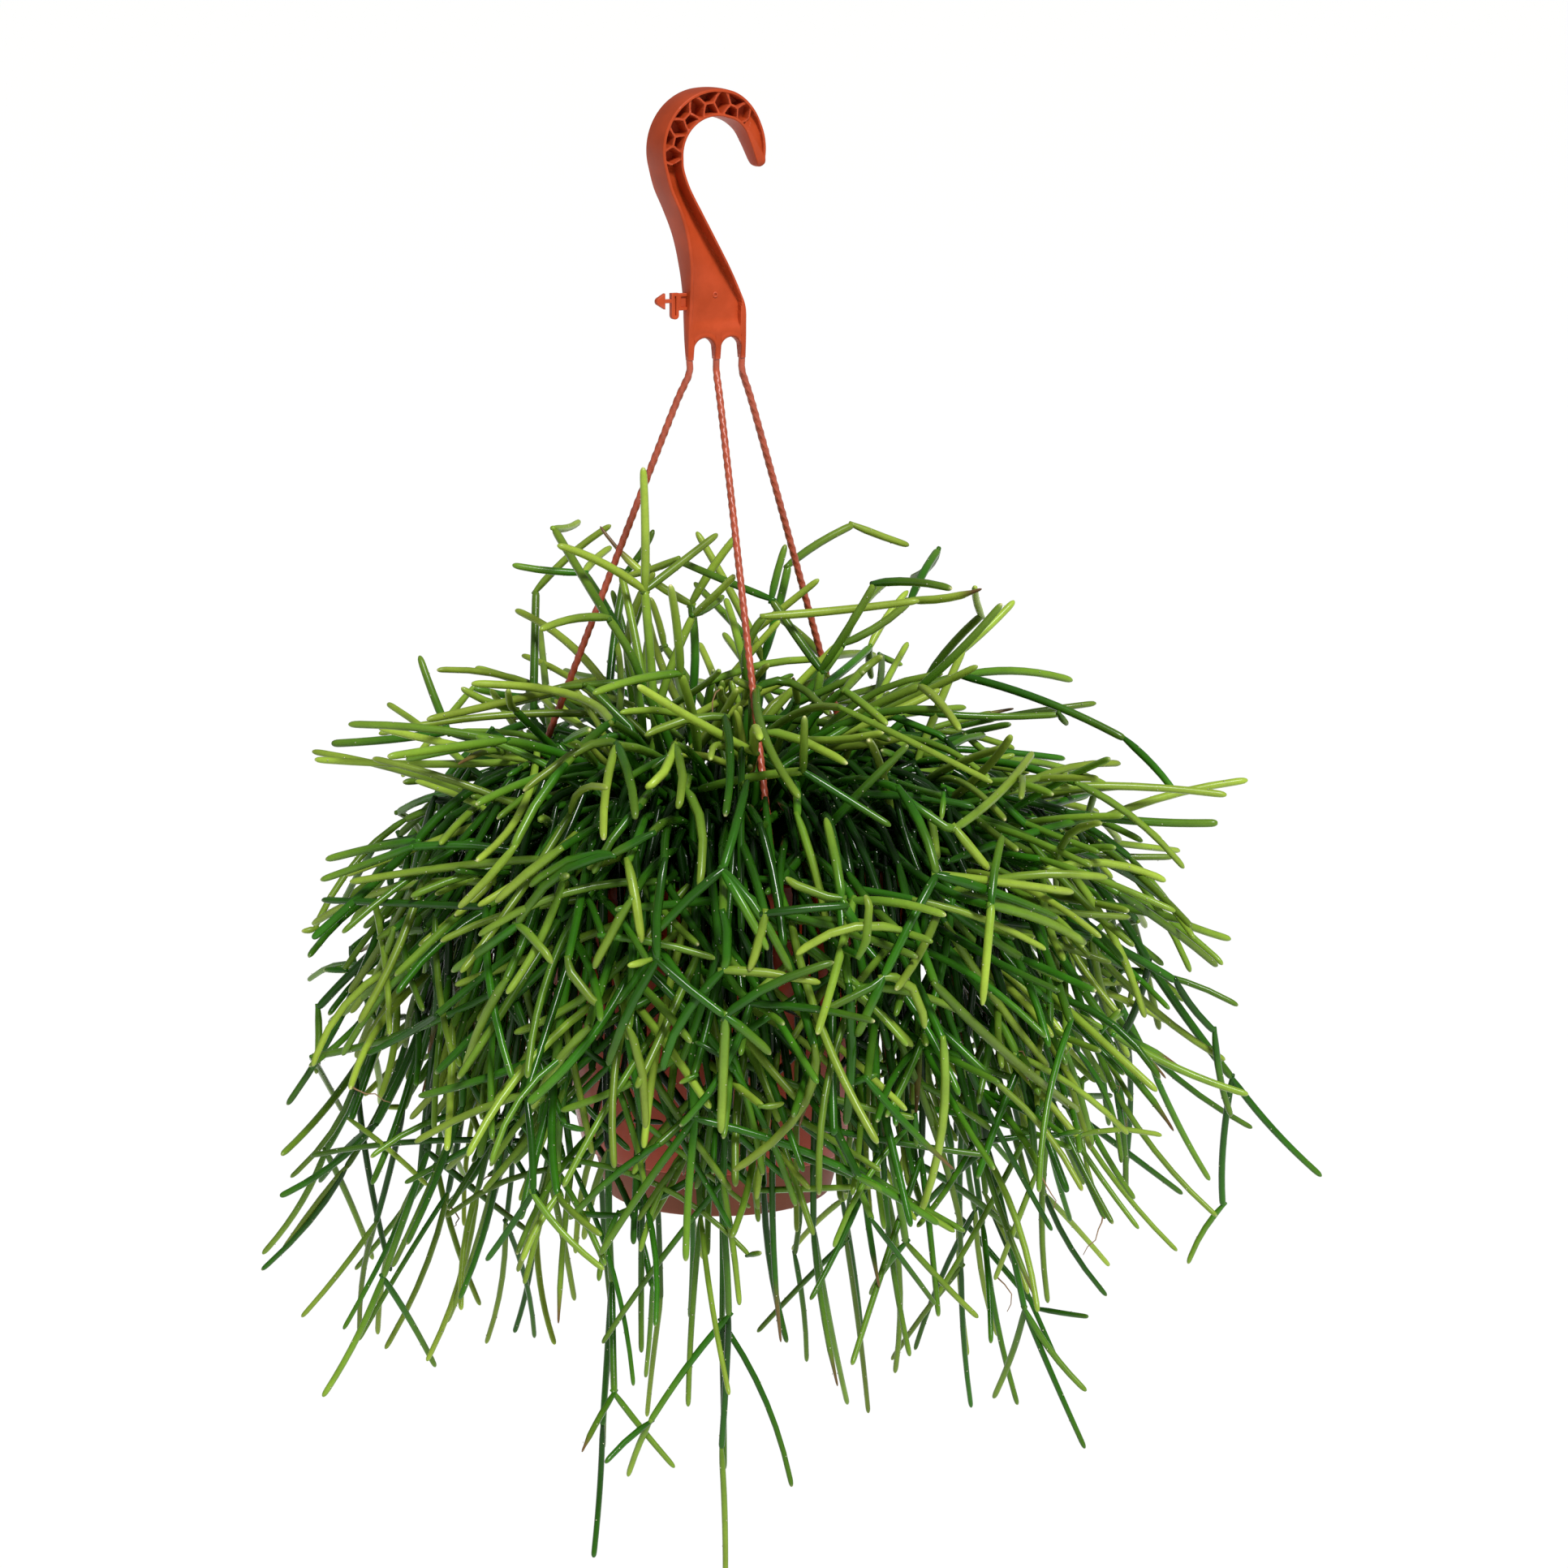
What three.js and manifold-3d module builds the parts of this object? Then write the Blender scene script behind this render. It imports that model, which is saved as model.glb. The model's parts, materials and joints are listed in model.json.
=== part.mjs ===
// A mistletoe cactus (Rhipsalis) in a hanging pot of moulded plastic: a hook with three twisted
// strands, a tapered pot with a skirted rim, a clip-on saucer, the peat and the rooted stems.
// Millimetres, +Z up. The origin is the top of the hook's throat, where the hook rests on its bar;
// the pot's axis runs straight down from it, and -Y is the front.
import * as THREE from "three";
import { mergeVertices } from "three/addons/utils/BufferGeometryUtils.js";
import Module from "manifold-3d";

const wasm = await Module();
wasm.setup();

// ---------- driving dimensions ----------
const GAP = 0.3;                       // air left between two pieces that touch

// the hook, drawn in its own upright plane
const HOOK_YAW = 28;                   // degrees, the plane's turn from the pot's front
const HOOK_DEPTH = 14;                 // thickness round the throat
const TIP_DEPTH = 8.5;                 // thickness at the tip
const WEB = 3;                         // the wall between the two faces' recesses
const EDGE = 1.6;                      // width of the raised edge round each recess
const THROAT = { u: -2.6, z: -13.8, r: 14 };
const CROWN = { u: -3.2, z: -11.9, r: 21.3 };
const TIP = { u: 15.9, z: -18.2, r: 1.7 };
const PLATE_Z = -83;                   // top of the arches between the legs
const LEG_END_Z = -89;
const LEGS = [-11.05, 0.15, 10.9];     // where the three legs stand along the plate
const LEG_WIDTH = 2.3;
const HALF_DEPTHS = [                  // half the hook's thickness at each height
  [HOOK_DEPTH / 2, 12], [HOOK_DEPTH / 2, -28], [4.7, -50], [3.2, -68], [1.9, PLATE_Z],
  [1.35, LEG_END_Z - 1],
];
const BOW_SINK = 0.7;                  // how far the bow's band lies below its raised edges
const CELLS = 9;                       // deep six-sided pockets round the bow
const CELL_PITCH = 5.7;
const CELL_R = 2.1;

// the strands
const STRAND_R = 1.35;
const STRAND_TWIST = 11.4;             // length of one full turn
const STRAND_STEPS = 6;                // rings in one turn
const STRAND_ANGLES = [165.2, -75.2, 45.2];  // where the strands of LEGS meet the rim, degrees
const STRAND_CIRCLE = 80.4;            // radius of the three holes in the rim
const BARB = { width: 4.6, depth: 1.8, length: 4.4 };

// the pot
const RIM_Z = -271;
const RIM_R = 85;
const SKIRT_Z = -292;
const WALL_TOP_R = 77.9;
const BASE_Z = -388;
const BASE_R = 52;
const WALL = 1.6;
const FLANGE = 2.2;
const FLOOR = 2;
const FOOT = { r: 45.8, z: -394, inner: 43 };
const HOLE_R = 2.1;                    // rim holes for the strands
const DRAIN = { r: 4, circle: 26, count: 6 };
const ROUND = 36;                      // facets round the pot

// the saucer
const SAUCER = { top: -388.6, bottom: -406.5, topR: 47.7, bottomR: 43.2, wall: 1.4 };

// the peat
const PEAT_EDGE_Z = -279;
const PEAT_RISE = 8.5;                 // how far the middle stands above the edge
const PEAT_R = 74.2;
const PEAT_ROUND = 24;                 // facets round the peat

// the plant
const SIDES = 3;
const SECTION = 1.24;                  // corner radius of a three-sided stem of radius 1
const ROOT_R = 2.1;                    // a leader's radius at its root
const LEADER_R = 1.95;                 // and over most of its length
const LOW_LEADER_R = 1.7;              // the lowest leaders are thinner
const LOW_TIP_Z = -470;
const LEADER_TAPER = 0.25;             // a leader's tip is this much thinner
const BRANCH_R = [1.75, 1.6];          // side stems, and the stems that fork from them
const BRANCH_LENGTH = [[34, 66], [22, 44]];
const BRANCH_SAG = [0, 0.2];           // drop of the end, as a share of the length
const BRANCH_ENDS = [0.98, 0.82];      // width at the root and at the tip
const BRANCH_Z = [-520, -150];         // no side stem ends below or above these
const SUNK = 1.8;                      // how deep a side stem's root lies in its bearer
const TRIES = { leader: 160, branch: 14 };
const ROOT_DEPTH = 13;
const ROOT_GAP = 9.5;                  // least distance between two rooted stems
const CLEAR = 0.4;                     // least air between two sprays
const JOINT = 52;                      // typical length of a leader's segment
const FORK = [26, 58];                 // how far a side stem turns from the stem it leaves, degrees
const STRAIGHT = 0.12;                 // a side stem that sags less than this is drawn straight
const FORK_AGAIN = [0.36, 0.06];       // how often a side stem forks again, and that one again
const REACH = [                        // how far from the axis the stems reach at each height
  [-150, 70], [-175, 104], [-200, 124], [-235, 150], [-260, 166], [-300, 172], [-360, 184],
  [-400, 194], [-440, 180], [-480, 132], [-505, 90], [-530, 45],
];
// Leaders that make the outline: tip x, y, z and the slope of the last segment below level.
const KEY_TIPS = [
  [-27, -12, -128, -86], [103, -58, -172, -62], [-78, 62, -193, 6], [117, 82, -193, -48],
  [-117, -92, -221, 2], [-146, 12, -236, 4], [139, 66, -222, 26], [186, -30, -259, -14],
  [-147, -72, -292, 32], [200, 40, -320, 12], [-146, 84, -323, 48], [197, -50, -358, 6],
  [231, -8, -402, 38], [-166, -22, -404, 16], [195, 52, -421, 56], [-178, 24, -441, 44],
  [-147, -70, -467, 48], [135, -86, -483, 58], [-84, 104, -500, 64], [59, 112, -503, 68],
  [101, 78, -502, 76], [-46, -108, -516, 66], [2, -122, -526, 76], [-12, 116, -498, 76],
];
// The other leaders, by storey: their azimuths, tip radius, tip height, slope, root radius and
// typical joint. The upper storey goes all round; the key tips leave the front and back thinner.
const STOREYS = [
  {
    azimuths: [10, 58, 112, 163, 214, 262, 312, 338],
    reach: [24, 88], z: [-160, -188], slope: [-70, -16], root: [3, 28], joint: 34,
  },
  {
    azimuths: [232, 252, 272, 293, 312, 62, 88, 114],
    reach: [112, 156], z: [-208, -300], slope: [0, 36], root: [16, 42], joint: 46,
  },
  {
    azimuths: [222, 244, 261, 280, 299, 316, 50, 78, 102, 128],
    reach: [118, 168], z: [-335, -450], slope: [40, 66], root: [36, 58], joint: 52,
  },
];

// ---------- small tools ----------
const rad = (degrees) => (degrees * Math.PI) / 180;
const v3 = (x, y, z) => new THREE.Vector3(x, y, z);

// A closed solid for joining and cutting.
function solid(geometry) {
  const bare = geometry.index ? geometry.toNonIndexed() : geometry.clone();
  bare.deleteAttribute("normal");
  bare.deleteAttribute("uv");
  const merged = mergeVertices(bare, 1e-4);
  return new wasm.Manifold(new wasm.Mesh({
    numProp: 3,
    vertProperties: new Float32Array(merged.attributes.position.array),
    triVerts: new Uint32Array(merged.index.array),
  }));
}

function geometryOf(body) {
  const mesh = body.getMesh();
  const geometry = new THREE.BufferGeometry();
  geometry.setAttribute("position", new THREE.BufferAttribute(mesh.vertProperties, 3));
  geometry.setIndex(new THREE.BufferAttribute(mesh.triVerts, 1));
  return geometry;
}

// A closed body through rings of points that all have the same count.
function loft(rings) {
  const count = rings[0].length;
  const positions = rings.flat().flatMap((p) => [p.x, p.y, p.z]);
  const index = [];
  for (let k = 0; k + 1 < rings.length; k += 1) {
    for (let i = 0; i < count; i += 1) {
      const a = k * count + i;
      const b = k * count + ((i + 1) % count);
      index.push(a, b, a + count, b, b + count, a + count);
    }
  }
  const last = (rings.length - 1) * count;
  for (let i = 1; i + 1 < count; i += 1) {
    index.push(0, i + 1, i, last, last + i, last + i + 1);
  }
  const geometry = new THREE.BufferGeometry();
  geometry.setAttribute("position", new THREE.Float32BufferAttribute(positions, 3));
  geometry.setIndex(index);
  return geometry;
}

// Rings of a tube along points, carried without twist; turns adds a twist to each ring.
function tubeRings(points, radii, sides, turns = () => 0) {
  const tangents = points.map((p, i) => {
    const before = points[Math.max(i - 1, 0)];
    const after = points[Math.min(i + 1, points.length - 1)];
    const back = p.clone().sub(before).normalize();
    const ahead = after.clone().sub(p).normalize();
    return back.add(ahead).normalize();
  });
  const side = Math.abs(tangents[0].z) > 0.9 ? v3(1, 0, 0) : v3(0, 0, 1);
  const normal = side.sub(tangents[0].clone().multiplyScalar(side.dot(tangents[0]))).normalize();
  return points.map((p, i) => {
    const t = tangents[i];
    normal.sub(t.clone().multiplyScalar(normal.dot(t))).normalize();
    const across = t.clone().cross(normal);
    return Array.from({ length: sides }, (_, k) => {
      const angle = ((k / sides) + turns(i)) * 2 * Math.PI;
      return p.clone()
        .addScaledVector(normal, radii[i] * Math.cos(angle))
        .addScaledVector(across, radii[i] * Math.sin(angle));
    });
  });
}

// An upright plate: a shape drawn in the hook's (u, z) plane, between two depths.
function plate(shape, near, far, curveSegments = 12) {
  const geometry = new THREE.ExtrudeGeometry(shape, {
    depth: far - near, bevelEnabled: false, steps: 1, curveSegments,
  });
  geometry.translate(0, 0, near);
  geometry.rotateX(Math.PI / 2);
  return solid(geometry);
}

// ---------- the hook ----------
const arcPoint = (circle, degrees) => new THREE.Vector2(
  circle.u + circle.r * Math.cos(rad(degrees)),
  circle.z + circle.r * Math.sin(rad(degrees)),
);

function arcPoints(circle, from, to, count) {
  return Array.from({ length: count }, (_, i) => arcPoint(circle, from + ((to - from) * i) / (count - 1)));
}

const curvePoints = (pairs, count) => new THREE.SplineCurve(
  pairs.map(([u, z]) => new THREE.Vector2(u, z)),
).getPoints(count);

// The two edges of the hook, each from the tip round the bow and down to the plate's foot.
const outerEdge = [
  ...arcPoints(CROWN, -14, 196, 24),
  ...curvePoints([[-24.2, -18.4], [-21.1, -26], [-16.8, -34.5], [-13.6, -44], [-11.9, -55],
    [-11.5, -66], [-12.2, -77], [-12.2, PLATE_Z]], 11),
];
const innerEdge = [
  ...arcPoints(THROAT, 8, 184, 20),
  ...curvePoints([[-16.3, -18.9], [-14.6, -25.5], [-10.2, -33.5], [-5.3, -40.9], [4.7, -55.5],
    [9.6, -63.5], [12.3, -69.5], [12.8, -76], [12.05, PLATE_Z]], 12),
];

function hookOutline() {
  const shape = new THREE.Shape(outerEdge);
  const half = LEG_WIDTH / 2;
  const [left, middle, right] = LEGS;
  shape.lineTo(left - half, LEG_END_Z);
  shape.lineTo(left + half, LEG_END_Z);
  for (const [a, b] of [[left, middle], [middle, right]]) {
    const r = (b - a) / 2 - half;
    shape.lineTo(a + half, PLATE_Z - r);
    shape.absarc((a + b) / 2, PLATE_Z - r, r, Math.PI, 0, true);
    shape.lineTo(b - half, LEG_END_Z);
    shape.lineTo(b + half, LEG_END_Z);
  }
  [...innerEdge].reverse().forEach((p) => shape.lineTo(p.x, p.y));
  shape.absarc(TIP.u, TIP.z, TIP.r, rad(190), rad(370), false);
  return shape;
}

// An edge moved sideways into the hook.
function inset(edge, distance) {
  return edge.map((p, i) => {
    const before = edge[Math.max(i - 1, 0)];
    const after = edge[Math.min(i + 1, edge.length - 1)];
    const along = after.clone().sub(before).normalize();
    return new THREE.Vector2(p.x - along.y * distance, p.y + along.x * distance);
  });
}

// The sunken band between the two raised edges, over a stretch given by heights and sides.
function channel(keep) {
  const outer = inset(outerEdge, EDGE).filter(keep);
  const inner = inset(innerEdge, -EDGE).filter(keep);
  return new THREE.Shape([...outer, ...inner.reverse()]);
}

function honeycomb() {
  const centre = { u: (THROAT.u + CROWN.u) / 2, z: (THROAT.z + CROWN.z) / 2 };
  const r = (THROAT.r + CROWN.r) / 2;
  const step = (CELL_PITCH / r) * (180 / Math.PI);
  return Array.from({ length: CELLS }, (_, k) => {
    const angle = 188 - k * step;
    const at = arcPoint({ ...centre, r }, angle);
    const corners = Array.from({ length: 6 }, (_unused, i) => arcPoint(
      { u: at.x, z: at.y, r: CELL_R },
      angle + 90 + i * 60,
    ));
    return new THREE.Shape(corners);
  });
}

function hook() {
  let body = plate(hookOutline(), -HOOK_DEPTH / 2, HOOK_DEPTH / 2);
  // side view: full depth round the throat, thinning down to the plate and the legs
  const half = HOOK_DEPTH / 2;
  const sideView = new THREE.Shape([
    ...HALF_DEPTHS.map(([y, z]) => new THREE.Vector2(y, z)),
    ...HALF_DEPTHS.map(([y, z]) => new THREE.Vector2(-y, z)).reverse(),
  ]);
  const slab = new THREE.ExtrudeGeometry(sideView, { depth: 80, bevelEnabled: false });
  slab.translate(0, 0, -40);
  slab.rotateX(Math.PI / 2);
  slab.rotateZ(Math.PI / 2);
  body = body.intersect(solid(slab));
  // top view: the depth falls off towards the tip
  for (const face of [-1, 1]) {
    const wedge = new THREE.Shape([
      new THREE.Vector2(6, face * (half + 0.01)),
      new THREE.Vector2(22, face * (TIP_DEPTH / 2 - 0.4)),
      new THREE.Vector2(22, face * (half + 2)),
      new THREE.Vector2(6, face * (half + 2)),
    ]);
    const cutter = new THREE.ExtrudeGeometry(wedge, { depth: 40, bevelEnabled: false });
    cutter.translate(0, 0, -25);
    body = body.subtract(solid(cutter));
  }
  const bow = channel((p) => p.y > -20 && p.x < 14);
  const shank = channel((p) => p.y < -14 && p.y > -77 && p.x < 13);
  const tip = channel((p) => p.x > 7 && p.y < -6 && p.y > -15.5);
  const cells = honeycomb();
  for (const face of [-1, 1]) {
    const cut = (shape, from) => {
      const [near, far] = face < 0 ? [-half - 1, -from] : [from, half + 1];
      body = body.subtract(plate(shape, near, far));
    };
    cut(shank, WEB / 2);
    cut(tip, WEB / 2 + 1);
    cut(bow, half - BOW_SINK);
    cells.forEach((cell) => cut(cell, WEB / 2));
  }
  return body.add(labelClip());
}

// The spare label clip on the plate's left edge: a loop, a paddle, a stem and an arrow head.
function labelClip() {
  const loop = new THREE.Shape();
  loop.moveTo(-11, -66.6);
  loop.lineTo(-16.9, -66.6);
  loop.lineTo(-16.9, -72.8);
  loop.lineTo(-11, -72.8);
  const window = new THREE.Path();
  window.moveTo(-12.3, -67.8);
  window.lineTo(-15.6, -67.8);
  window.lineTo(-15.6, -71.6);
  window.lineTo(-12.3, -71.6);
  loop.holes.push(window);
  const paddle = new THREE.Shape();
  paddle.moveTo(-16.6, -66.6);
  paddle.lineTo(-19.5, -66.6);
  paddle.lineTo(-19.5, -74.4);
  paddle.absarc(-18.05, -74.4, 1.45, Math.PI, 2 * Math.PI, false);
  const arrow = new THREE.Shape();
  arrow.moveTo(-19.2, -68.9);
  arrow.lineTo(-22.1, -68.9);
  arrow.lineTo(-22.1, -66.6);
  arrow.lineTo(-24.6, -68.3);
  arrow.absarc(-25, -69.6, 1.2, rad(100), rad(260), false);
  arrow.lineTo(-22.1, -72.6);
  arrow.lineTo(-22.1, -70.3);
  arrow.lineTo(-19.2, -70.3);
  const parts = [loop, paddle, arrow].map((shape) => plate(shape, -0.9, 0.9, 6));
  return parts.reduce((sum, part) => sum.add(part));
}

// ---------- the strands ----------
function strandRoute(k) {
  const yaw = rad(HOOK_YAW);
  const angle = rad(STRAND_ANGLES[k]);
  const start = v3(LEGS[k] * Math.cos(yaw), LEGS[k] * Math.sin(yaw), LEG_END_Z - GAP);
  const hole = v3(STRAND_CIRCLE * Math.cos(angle), STRAND_CIRCLE * Math.sin(angle), RIM_Z);
  const below = start.clone().add(v3(0, 0, -4));
  const turn = start.clone().lerp(hole, 0.07).add(v3(0, 0, -2.5));
  const above = hole.clone().lerp(start, 0.045).add(v3(0, 0, 1.5));
  const foot = hole.clone().add(v3(0, 0, -FLANGE - 1));
  const onHole = hole.clone().add(v3(0, 0, 2.5));
  return new THREE.CatmullRomCurve3([start, below, turn, above, onHole, foot], false, "centripetal");
}

function strand(k) {
  const route = strandRoute(k);
  const count = Math.round((route.getLength() / STRAND_TWIST) * STRAND_STEPS);
  const points = route.getSpacedPoints(count);
  const rings = tubeRings(points, points.map(() => STRAND_R), 3, (i) => i / STRAND_STEPS);
  const foot = points[points.length - 1];
  const w = BARB.width / 2;
  const arrow = new THREE.Shape();
  arrow.moveTo(-w, 0);
  arrow.lineTo(w, 0);
  arrow.lineTo(0.5, -BARB.length);
  arrow.lineTo(-0.5, -BARB.length);
  const barb = new THREE.ExtrudeGeometry(arrow, { depth: BARB.depth, bevelEnabled: false });
  barb.translate(0, 0, -BARB.depth / 2);
  barb.rotateX(Math.PI / 2);
  barb.rotateZ(rad(STRAND_ANGLES[k] + 90));
  barb.translate(foot.x, foot.y, foot.z + 0.7);
  return solid(loft(rings)).add(solid(barb));
}

// ---------- the pot, the saucer and the peat ----------
function lathe(pairs, facets = ROUND) {
  const points = pairs.map(([r, z]) => new THREE.Vector2(r, z));
  const geometry = new THREE.LatheGeometry(points, facets);
  geometry.rotateX(Math.PI / 2);
  return solid(geometry);
}

function upright(r, sides, from, to, x, y) {
  const geometry = new THREE.CylinderGeometry(r, r, to - from, sides);
  geometry.rotateX(Math.PI / 2);
  geometry.translate(x, y, (from + to) / 2);
  return solid(geometry);
}

// the radius of the pot's outer wall at a height
const wallRadius = (z) => BASE_R + ((z - BASE_Z) / (RIM_Z - BASE_Z)) * (WALL_TOP_R - BASE_R);

function pot() {
  const innerRim = WALL_TOP_R - WALL;
  const floorZ = BASE_Z + FLOOR;
  let body = lathe([
    [0, BASE_Z], [FOOT.inner, BASE_Z], [FOOT.inner, FOOT.z], [FOOT.r - 1.4, FOOT.z],
    [FOOT.r, BASE_Z], [BASE_R, BASE_Z], [wallRadius(RIM_Z - FLANGE), RIM_Z - FLANGE],
    [RIM_R - WALL, RIM_Z - FLANGE], [RIM_R - WALL, SKIRT_Z], [RIM_R, SKIRT_Z], [RIM_R, RIM_Z],
    [innerRim, RIM_Z], [wallRadius(floorZ) - WALL, floorZ], [0, floorZ],
  ]);
  for (const degrees of STRAND_ANGLES) {
    const [x, y] = [STRAND_CIRCLE * Math.cos(rad(degrees)), STRAND_CIRCLE * Math.sin(rad(degrees))];
    body = body.subtract(upright(HOLE_R, 8, RIM_Z - FLANGE - 1, RIM_Z + 1, x, y));
  }
  for (let k = 0; k < DRAIN.count; k += 1) {
    const angle = (k / DRAIN.count) * 2 * Math.PI;
    const [x, y] = [DRAIN.circle * Math.cos(angle), DRAIN.circle * Math.sin(angle)];
    body = body.subtract(upright(DRAIN.r, 8, BASE_Z - 1, floorZ + 1, x, y));
  }
  return body;
}

function saucer() {
  const { top, bottom, topR, bottomR, wall } = SAUCER;
  return lathe([
    [0, bottom], [bottomR, bottom], [topR, top],
    [topR - wall, top], [bottomR - wall, bottom + wall], [0, bottom + wall],
  ]);
}

const peatHeight = (r) => PEAT_EDGE_Z + PEAT_RISE * (1 - (r / PEAT_R) ** 2);

function peat(holes) {
  const floorZ = BASE_Z + FLOOR + GAP;
  const rings = [1, 0.62].map((f) => [PEAT_R * f, peatHeight(PEAT_R * f)]);
  const body = lathe([
    [0, floorZ], [wallRadius(floorZ) - WALL - GAP, floorZ], ...rings, [0, peatHeight(0)],
  ], PEAT_ROUND);
  return holes.reduce((sum, hole) => sum.subtract(hole), body);
}

// ---------- the plant ----------
// Numbers that look random but are the same on every run.
let seed = 2027;
function draw() {
  seed = (seed * 1664525 + 1013904223) % 4294967296;
  return seed / 4294967296;
}
const between = (low, high) => low + (high - low) * draw();

function reachAt(z) {
  const last = REACH.length - 1;
  if (z >= REACH[0][0]) {
    return REACH[0][1];
  }
  for (let i = 0; i < last; i += 1) {
    const [[za, ra], [zb, rb]] = [REACH[i], REACH[i + 1]];
    if (z >= zb) {
      return ra + ((za - z) / (za - zb)) * (rb - ra);
    }
  }
  return REACH[last][1];
}

// The straight stretches already taken: ends, radius, owner and the joint each one leaves.
const taken = [];

function stretchDistance(a, b, c, d) {
  const u = b.clone().sub(a);
  const v = d.clone().sub(c);
  const w = a.clone().sub(c);
  const uu = u.dot(u);
  const uv = u.dot(v);
  const vv = v.dot(v);
  const uw = u.dot(w);
  const vw = v.dot(w);
  const den = uu * vv - uv * uv;
  let s = den > 1e-9 ? Math.min(Math.max((uv * vw - vv * uw) / den, 0), 1) : 0;
  let t = (uv * s + vw) / vv;
  t = Math.min(Math.max(t, 0), 1);
  s = Math.min(Math.max((uv * t - uw) / uu, 0), 1);
  return w.addScaledVector(u, s).addScaledVector(v, -t).length();
}

// Air between a point on a stem and the pot, the rim, the saucer and the peat.
function clearOfPot(p, r) {
  const out = Math.hypot(p.x, p.y);
  if (p.z > RIM_Z + r + 0.8) {
    return p.z > peatHeight(Math.min(out, PEAT_R)) + r + 0.3 || out > PEAT_R;
  }
  if (out < WALL_TOP_R - WALL - r - 1) {
    return p.z > peatHeight(out) + r + 0.3;
  }
  if (p.z > SKIRT_Z - r - 0.8) {
    return out > RIM_R + r + 0.8;
  }
  return out > Math.max(wallRadius(Math.max(p.z, BASE_Z)), BASE_R) + r + 0.8;
}

// Whether a stem through points may grow: clear of the pot and of every stem but its own joint's.
function mayGrow(points, r, owner, joint, freeEnd = 0) {
  for (let i = freeEnd; i + 1 < points.length; i += 1) {
    const [a, b] = [points[i], points[i + 1]];
    for (let k = 0; k < 4; k += 1) {
      if (!clearOfPot(a.clone().lerp(b, (k + 1) / 4), r * SECTION)) {
        return false;
      }
    }
  }
  for (let i = 0; i + 1 < points.length; i += 1) {
    const [a, b] = [points[i], points[i + 1]];
    for (const other of taken) {
      const near = (r + other.r) * SECTION + CLEAR;
      const ownJoint = other.owner === owner && other.joints.includes(joint) && i < 2;
      const far = a.distanceTo(other.a) > a.distanceTo(b) + other.length + near;
      if (!far && !ownJoint && stretchDistance(a, b, other.a, other.b) < near) {
        return false;
      }
    }
  }
  return true;
}

function take(points, r, owner, jointOf) {
  for (let i = 0; i + 1 < points.length; i += 1) {
    const [a, b] = [points[i], points[i + 1]];
    taken.push({ a, b, r, owner, joints: jointOf(i), length: a.distanceTo(b) });
  }
}

// A direction turned from another by fork degrees, to the side given by round degrees.
function turned(direction, fork, round) {
  const side = Math.abs(direction.z) > 0.9 ? v3(1, 0, 0) : v3(0, 0, 1);
  const first = direction.clone().cross(side).normalize();
  const second = direction.clone().cross(first);
  return direction.clone().multiplyScalar(Math.cos(rad(fork)))
    .addScaledVector(first, Math.sin(rad(fork)) * Math.cos(rad(round)))
    .addScaledVector(second, Math.sin(rad(fork)) * Math.sin(rad(round)));
}

// One segment that leaves start in a direction and sags a little: its middle and its end.
function segment(start, direction, length, sag) {
  const at = (t) => start.clone()
    .addScaledVector(direction, length * t)
    .add(v3(0, 0, -sag * length * t * t));
  return [at(0.5), at(1)];
}

// The wanted leaders: tip, slope, root radius and azimuth.
function wantedLeaders() {
  const wanted = KEY_TIPS.map(([x, y, z, slope]) => {
    const depth = Math.min(Math.max((-150 - z) / 330, 0), 1);
    return { tip: v3(x, y, z), slope, rootR: between(12, 22) + 38 * depth, joint: JOINT };
  });
  for (const { azimuths, reach, z, slope, root, joint } of STOREYS) {
    for (const degrees of azimuths) {
      const azimuth = rad(degrees + between(-6, 6));
      const r = between(reach[0], reach[1]);
      wanted.push({
        tip: v3(r * Math.cos(azimuth), r * Math.sin(azimuth), between(z[0], z[1])),
        slope: between(slope[0], slope[1]),
        rootR: between(root[0], root[1]),
        joint,
      });
    }
  }
  return wanted;
}

// One try at a leader: a rooted stem that rises, arches over the rim and runs to its tip.
function leaderTry({ tip, slope, rootR, joint: typical }, loose) {
  const azimuth = Math.atan2(tip.y, tip.x) + rad(between(-16, 16) * (1 + loose));
  const r = Math.min(Math.max(rootR + between(-6, 6) * (1 + loose), 2), 62);
  const root = v3(r * Math.cos(azimuth), r * Math.sin(azimuth), peatHeight(r));
  const out = v3(tip.x - root.x, tip.y - root.y, 0).normalize();
  const drop = root.z - tip.z;
  const lean = rad(between(5, 15) + 40 * (r / 62));
  const up = out.clone().multiplyScalar(Math.sin(lean)).add(v3(0, 0, Math.cos(lean)));
  const span = root.distanceTo(tip);
  const rise = drop > 0 ? between(86, 112) + 0.12 * drop : span * 0.42;
  const end = out.clone().multiplyScalar(Math.cos(rad(slope))).add(v3(0, 0, -Math.sin(rad(slope))));
  const run = drop > 0 ? span * between(0.42, 0.54) : span * 0.3;
  const curve = new THREE.CubicBezierCurve3(
    root,
    root.clone().addScaledVector(up, rise),
    tip.clone().addScaledVector(end, -run),
    tip,
  );
  const length = curve.getLength();
  const count = Math.max(2, Math.round(length / (typical * between(0.88, 1.14))));
  const points = [root.clone().addScaledVector(up, -ROOT_DEPTH), root.clone().addScaledVector(up, 1)];
  for (let k = 1; k <= count; k += 1) {
    const joint = curve.getPointAt(k / count);
    if (k < count) {
      joint.add(v3(between(-4, 4), between(-4, 4), between(-3, 3)));
    }
    const middle = curve.getPointAt((k - 0.5) / count).lerp(points[points.length - 1].clone()
      .add(joint).multiplyScalar(0.5), 0.35);
    points.push(middle, joint);
  }
  return points;
}

const sprays = [];

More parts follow.
